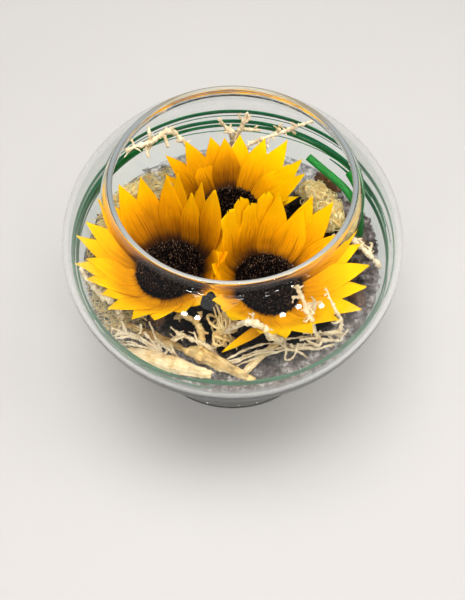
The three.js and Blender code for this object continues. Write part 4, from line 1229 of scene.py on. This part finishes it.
def stick_lines(name, sticks, closed=0):
    """A curve object of smooth lines through (x, y, z, radius) points, the first few of them closed."""
    lines = bpy.data.curves.new(name, "CURVE")
    lines.dimensions = "3D"
    for number, points in enumerate(sticks):
        spline = lines.splines.new("NURBS")
        spline.points.add(len(points) - 1)
        for spot, (x, y, z, radius) in zip(spline.points, points):
            spot.co = (x * MM, y * MM, z * MM, 1)
            spot.radius = radius * MM
        spline.order_u = 3
        spline.resolution_u = 12
        spline.use_endpoint_u = number >= closed
        spline.use_cyclic_u = number < closed
    return show(name, lines)


def point_along(points, share):
    place = share * (len(points) - 1)
    low = min(len(points) - 2, math.floor(place))
    return [a + (b - a) * (place - low) for a, b in zip(points[low], points[low + 1])]


def spurs(stick, seed):
    """Short broken spurs all along a stick, in fixed draws."""
    places = [Vector(point[:3]) for point in stick]
    length = sum((b - a).length for a, b in zip(places, places[1:]))
    made = []
    count = int(length / SPUR_SPACING)
    for number in range(count):
        key = seed + 17 * number
        x, y, z, radius = point_along(stick, min(0.999, (number + draw(key)) / count))
        if z < SOIL_HEIGHT + 1:
            continue
        turn = 6.28 * draw(key + 1)
        rise = 1.4 * draw(key + 2) - 0.5
        reach = 1.2 + 4.0 * draw(key + 3) ** 2
        dx = math.cos(turn) * math.cos(rise) * reach
        dy = math.sin(turn) * math.cos(rise) * reach
        dz = math.sin(rise) * reach
        thick = min(radius * 0.7, 0.32 + 0.32 * draw(key + 4))
        bend = (x + 0.6 * dx, y + 0.45 * dy, z + 0.6 * dz + 0.3, thick)
        made.append([(x, y, z, thick * 1.4), bend, (x + dx, y + dy, z + dz, thick * 0.7)])
    return made


def spray_sticks(spray, seed):
    """The main stick of a spray, its side twigs, the spurs on them and the thin straws beside them."""
    sticks = [[(x, y, z, radius * TWIG_SLIMMING) for x, y, z, radius in spray["main"]]]
    for share, dx, dy, dz, radius in spray["side"]:
        x, y, z = point_along([point[:3] for point in spray["main"]], share)
        radius *= TWIG_SLIMMING
        bend = (x + dx * 0.55 + dz * 0.08, y + dy * 0.5 - dz * 0.06, z + dz * 0.5, radius)
        sticks.append([(x, y, z, radius * 1.15), bend, (x + dx, y + dy, z + dz, radius * 0.8)])
    for number, stick in enumerate(list(sticks)):
        sticks += spurs(stick, seed + 300 * number)
    return sticks + spray.get("straws", [])


wooden_stick = stick_tree()
twig_finish = bleached_wood("bleached twig", TWIG_COLOURS)
tan_finish = bleached_wood("tan driftwood", TAN_COLOURS, 0.7)
for number, (name, spray) in enumerate(SPRAYS.items()):
    values = {
        "Material": tan_finish if spray.get("tan") else twig_finish, "Step": 0.5 * MM, "Sides": 8,
        "Groove Width": 1.3, "Groove Length": 900.0, "Groove": 0.5 * MM,
        "Knots": 1.3, "Knot Size": 420.0, "Sway": 2.0 * MM,
    }
    sticks = spray_sticks(spray, 1000 * number)
    twig = grown(f"{name}_knobbly", stick_lines(name, sticks), wooden_stick, values)
    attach(twig, "root")
    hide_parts(name)

# Driftwood
# Pieces of root worn smooth and bleached by water, with long fibres, lying on the soil in front.

DRIFTWOOD = {
    "driftwood_long": {
        "line": [(-62, -65, 88, 1.6), (-57, -67, 88, 3.4), (-47, -70, 88.5, 4.2), (-34, -74, 88.5, 4.4),
                 (-22, -78, 88.5, 3.2), (-12, -80, 88, 1.9)],
        "strands": 26, "thick": 1.0, "tan": False,
    },
    "driftwood_bar": {
        "line": [(-61, -47, 87, 1.7), (-52, -52, 87, 2.2), (-42, -57, 87.5, 2.4), (-30, -63, 88, 2.4),
                 (-22, -67, 88, 2.4)],
        "strands": 9, "thick": 0.7, "tan": True,
    },
    "driftwood_short": {
        "line": [(-25, -64, 88, 2.6), (-18, -68, 89, 4.0), (-9, -73, 89, 3.6), (1, -78, 88.5, 2.6),
                 (12, -83, 87.5, 1.9)],
        "strands": 30, "thick": 0.75, "tan": True,
    },
    "driftwood_stick": {
        "line": [(7, -78, 87, 1.7), (15, -70, 89, 1.9), (24, -63, 92, 1.7), (30, -57, 93, 1.2)],
        "strands": 6, "thick": 0.55, "tan": False,
    },
}
STRAND_SPREAD = 0.85
STRAND_STEPS = 6
DRIFTWOOD_COLOURS = [
    (0.32, 0.3, 0.15, 0.04), (0.46, 0.66, 0.43, 0.16), (0.58, 0.8, 0.61, 0.33),
    (0.74, 0.93, 0.81, 0.56),
]


def torn_fibres(line, count, thick, seed):
    """Strands along a stick, round its surface, that start and end raggedly."""
    strands = []
    above = Vector((0, 0, 1))
    along = Vector(line[-1][:3]) - Vector(line[0][:3])
    across = along.cross(above).normalized()
    for number in range(count):
        key = seed + 31 * number
        low = 0.32 * draw(key) - 0.02
        high = 1.03 - 0.34 * draw(key + 1)
        angle = 6.28 * draw(key + 2)
        twist = 1.6 * (draw(key + 3) - 0.5)
        strand = []
        for step in range(STRAND_STEPS + 1):
            share = low + (high - low) * step / STRAND_STEPS
            x, y, z, radius = point_along(line, min(0.999, max(0, share)))
            out = radius * STRAND_SPREAD * (1 + 0.35 * (draw(key + 5 + step) - 0.5))
            turned = angle + twist * step / STRAND_STEPS
            spot = Vector((x, y, z)) + along.normalized() * (share - min(1, max(0, share))) * 60
            spot += across * math.cos(turned) * out + above * abs(math.sin(turned)) * out
            taper = min(1, 0.45 + 0.55 * step / 2, 0.35 + 0.65 * (STRAND_STEPS - step) / 2)
            strand.append((*spot, thick * taper * (0.7 + 0.6 * draw(key + 4))))
        strands.append(strand)
    return strands


driftwood_finish = bleached_wood("bleached driftwood", DRIFTWOOD_COLOURS, 0.7)
for number, (name, piece) in enumerate(DRIFTWOOD.items()):
    values = {
        "Material": tan_finish if piece["tan"] else driftwood_finish, "Sides": 20, "Groove Width": 2.6,
        "Groove Length": 110.0, "Groove": 1.3 * MM, "Knots": 1.1, "Knot Size": 140.0,
    }
    line = piece["line"]
    sticks = [line] + torn_fibres(line, piece["strands"], piece["thick"], 5000 + 700 * number)
    wood = grown(f"{name}_fibrous", stick_lines(name, sticks), wooden_stick, values)
    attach(wood, "root")
    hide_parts(name)

# Vine tangle
# Loops of thin dried vine that lie over each other between the two front heads.

VINE_MIDDLE = (-5, -53, 92)
VINE_LOOPS = 13
VINE_STRANDS = 11
VINE_POINTS = 10
VINE_COLOURS = [
    (0.36, 0.28, 0.14, 0.03), (0.46, 0.62, 0.38, 0.12), (0.57, 0.9, 0.66, 0.28),
    (0.72, 1.0, 0.86, 0.5),
]


def vine_loop(key):
    """A small ring of vine, tilted and a little out of round, with its points in fixed draws."""
    turn = [math.radians(70 * (draw(key + axis) - 0.5)) for axis in range(2)] + [6.28 * draw(key + 2)]
    tilt = Euler(turn, "XYZ").to_matrix()
    middle = Vector(VINE_MIDDLE)
    middle += Vector((13 * (draw(key + 3) - 0.5), 15 * (draw(key + 4) - 0.5), 7 * (draw(key + 5) - 0.5)))
    long_half = 2.8 + 3.6 * draw(key + 6) ** 1.3
    short_half = long_half * (0.6 + 0.35 * draw(key + 7))
    thick = 0.55 + 0.35 * draw(key + 8)
    loop = []
    for step in range(VINE_POINTS):
        angle = 2 * math.pi * step / VINE_POINTS
        wave = 1 + 0.22 * (draw(key + 20 + step) - 0.5)
        spot = tilt @ Vector((long_half * math.cos(angle) * wave, short_half * math.sin(angle) * wave, 0))
        loop.append((*(middle + spot), thick))
    return loop


def vine_strand(key):
    """A strand of vine that runs down over the tangle from under the flowers."""
    start = Vector((-13 + 12 * draw(key), -39 - 3 * draw(key + 1), 97 + 3 * draw(key + 2)))
    end = Vector((-13 + 17 * draw(key + 3), -60 - 5 * draw(key + 4), 87 + 4 * draw(key + 5)))
    strand = []
    for step in range(6):
        spot = start.lerp(end, step / 5)
        spot += Vector([3.4 * (draw(key + 6 + 3 * step + axis) - 0.5) for axis in range(3)])
        strand.append((*spot, 0.4 + 0.3 * draw(key + 40)))
    return strand


vine_values = {
    "Material": bleached_wood("dried vine", VINE_COLOURS), "Step": 0.5 * MM, "Sides": 7,
    "Groove Width": 1.3, "Groove Length": 700.0, "Groove": 0.2 * MM, "Knots": 0.9, "Knot Size": 500.0,
}
vines = [vine_loop(7000 + 60 * number) for number in range(VINE_LOOPS)]
vines += [vine_strand(9000 + 60 * number) for number in range(VINE_STRANDS)]
vine = grown("vine_tangle_loops", stick_lines("vine", vines, closed=VINE_LOOPS), wooden_stick, vine_values)
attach(vine, "root")
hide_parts("vine_tangle")

# Moss
# Clumps of dried, bleached moss and plant sponge round the edge: a matted core with loose
# fibres curling out of it, and patches of looser fibres that lie on the soil at the left.

MOSS = {
    "moss_right": (56, 40, 87, 23, 10, 10, -60),
    "moss_left_back": (-64, 46, 87, 11, 8, 7, 40),
    "moss_left": (-79, 18, 86, 9, 5, 7, 100),
    "moss_left_front": (-77, -24, 86, 8, 5, 5, 68),
}
MOSS_COLOURS = [
    (0.3, 0.8, 0.46, 0.1), (0.4, 1.0, 0.68, 0.22), (0.49, 1.0, 0.77, 0.28), (0.6, 1.0, 0.9, 0.52),
]
MOSS_DENSITY = 330000.0
MOSS_CORE = 0.9
MOSS_ROUGHNESS = 4.4
MOSS_DETAIL = 0.23
STRAND_PATCHES = {
    "moss_left": (62, 89, 128, 218, 330000.0),
    "moss_left_back": (60, 86, 110, 140, 240000.0),
    "moss_left_front": (66, 90, 196, 230, 70000.0),
}
PATCH_ROWS = 13
PATCH_COLUMNS = 31


def lump(name, place, material, roughness, detail):
    """A rough rounded lump of the given half sizes, in millimetres, turned about Z."""
    x, y, z, long_half, wide_half, tall_half, turn = place
    shape = Matrix.Translation((x, y, z)) @ Matrix.Rotation(math.radians(turn), 4, "Z")
    shape = shape @ Matrix.Diagonal((long_half, wide_half, tall_half, 1))
    points, faces = lathe([(math.sin(math.pi * i / 32), -math.cos(math.pi * i / 32)) for i in range(33)], 56)
    shaped = []
    for point in points:
        spot = shape @ Vector(point)
        bump = noise.fractal(spot * detail, 1.0, 2.0, 5) - 0.9 * abs(noise.noise(spot * detail * 1.6)) ** 0.6
        shaped.append(spot + (spot - Vector((x, y, z))).normalized() * roughness * bump)
    return add_mesh(name, shaped, faces, material)


def fibre_tree(name, keep_core):
    """Scatters short bent fibres over a lump or patch, lying mostly along its surface."""
    tree, given = geometry_tree(
        name, {"Material": None, "Density": 500000.0, "Length": 5 * MM, "Thickness": 0.2 * MM, "Seed": 2}
    )
    spots = scattered(tree, given)
    arc = {"Resolution": 6, "Start": (-0.5, 0, -0.05), "Middle": (0.1, 0.35, 0.42), "End": (0.5, -0.15, 0.0)}
    arc = add_node(tree, "GeometryNodeCurveQuadraticBezier", arc).outputs["Curve"]
    thin = math_node(tree, "DIVIDE", given["Thickness"], given["Length"])
    fibre = tube_along(tree, arc, round_profile(tree, 3), thin)
    turned = jittered(tree, spots["Rotation"], 0.5, given["Seed"])
    scale = math_node(tree, "MULTIPLY", random_value(tree, 0.5, 1.3, given["Seed"]), given["Length"])
    finish_tree(tree, given, copies(tree, spots["Points"], fibre, turned, scale), keep_core)
    return tree


def soil_patch(inner, outer, start, end):
    """A patch that lies on the soil, between two distances from the axis and two angles."""
    points = []
    for row in range(PATCH_ROWS):
        reach = inner + (outer - inner) * row / (PATCH_ROWS - 1)
        for column in range(PATCH_COLUMNS):
            angle = math.radians(start + (end - start) * column / (PATCH_COLUMNS - 1))
            x, y = reach * math.cos(angle), reach * math.sin(angle)
            points.append((x, y, soil_top(x, y) + 1.6 + 1.6 * noise.noise(Vector((x, y, 0)) * 0.12)))
    return add_mesh("patch", points, grid_faces(PATCH_ROWS, PATCH_COLUMNS, backwards=True), moss_finish)


moss_finish, moss_tree, moss_shader = new_finish("cream dried moss", Roughness=0.9, Sheen_Weight=0.2)
moss_tone = noise_at(moss_tree, object_place(moss_tree), 380.0, 5.0, 0.65)
paint(moss_tree, moss_shader, moss_tone, MOSS_COLOURS)
relief(moss_tree, moss_shader, noise_at(moss_tree, object_place(moss_tree), 1100.0, 6.0, 0.7), 1.0)
fibres = fibre_tree("moss fibres", True)
for number, (name, (x, y, z, *halves, turn)) in enumerate(MOSS.items()):
    place = (x, y, z, *[half * MOSS_CORE for half in halves], turn)
    core = lump(name, place, moss_finish, MOSS_ROUGHNESS, MOSS_DETAIL)
    values = {
        "Material": moss_finish, "Density": MOSS_DENSITY, "Seed": number + 4, "Length": 6.5 * MM,
        "Thickness": 0.27 * MM,
    }
    moss = grown(f"{name}_fibres", core, fibres, values)
    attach(moss, "root")
    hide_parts(name)

loose_fibres = fibre_tree("loose fibres", False)
for number, (name, (*where, density)) in enumerate(STRAND_PATCHES.items()):
    values = {
        "Material": moss_finish, "Density": density, "Seed": number + 21, "Length": 9 * MM,
        "Thickness": 0.17 * MM,
    }
    loose = grown(f"{name}_loose", soil_patch(*where), loose_fibres, values)
    keep_inside(loose)
    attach(loose, "root")
    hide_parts(name)

# Bark pieces
# Curled flakes of dark brown bark that lie loose on the soil, smooth outside and fibrous inside.

BARK = {
    "bark_right_back": (61, 58, 86, 10, 4, 8, -45),
    "bark_right": (80, 9, 86, 7, 4, 5, -80),
    "bark_middle": (-9, -30, 79, 7, 5, 5, 20),
    "bark_front_right": (74, -26, 86, 9, 5, 5, 110),
    "bark_front_left": (-44, -42, 84, 6, 5, 4, 30),
}
BARK_COLOURS = [(0.3, 0.02, 0.009, 0.004), (0.5, 0.09, 0.04, 0.018), (0.75, 0.26, 0.13, 0.06)]
BARK_SHEET = 1.1
BARK_HALF_ROWS = 14
BARK_HALF_COLUMNS = 10


def curled_flake(name, place, material):
    """A flake of bark, curled across its length and torn at its ends."""
    x, y, z, long_half, wide_half, tall_half, turn = place
    shape = Matrix.Translation((x, y, z)) @ Matrix.Rotation(math.radians(turn), 4, "Z")
    rows, columns = 2 * BARK_HALF_ROWS + 1, 2 * BARK_HALF_COLUMNS + 1
    points = []
    for row in range(rows):
        along = row / BARK_HALF_ROWS - 1
        for column in range(columns):
            across = column / BARK_HALF_COLUMNS - 1
            torn = noise.noise(Vector((x + 5 * across, y, 3 * along)) * 0.9)
            bend = 1.75 * across * (1 - 0.25 * along * along)
            pinch = math.sqrt(max(0.05, 1 - (0.82 * along) ** 2))
            spot = Vector((
                long_half * along * (1 + 0.14 * torn),
                wide_half * math.sin(bend) * pinch,
                tall_half * (1.25 * math.cos(bend) * pinch - 0.35) - 0.8 * along * along,
            ))
            spot += Vector((0, 0, 0.7)) * noise.fractal(Vector((x, y, z)) + spot * 0.3, 1.0, 2.0, 4)
            points.append(tuple(shape @ spot))
    flake = add_mesh(name, points, grid_faces(rows, columns, backwards=True), material)
    solidify(flake, BARK_SHEET)
    return flake


bark_finish, bark_tree, bark_shader = new_finish("dark curled bark", Roughness=0.42)
bark_lines = noise_at(bark_tree, object_place(bark_tree), 260.0, 5.0, 0.6)
paint(bark_tree, bark_shader, bark_lines, BARK_COLOURS)
relief(bark_tree, bark_shader, bark_lines, 0.9)
for name, place in BARK.items():
    bark = curled_flake(f"{name}_flake", place, bark_finish)
    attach(bark, "root")
    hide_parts(name)
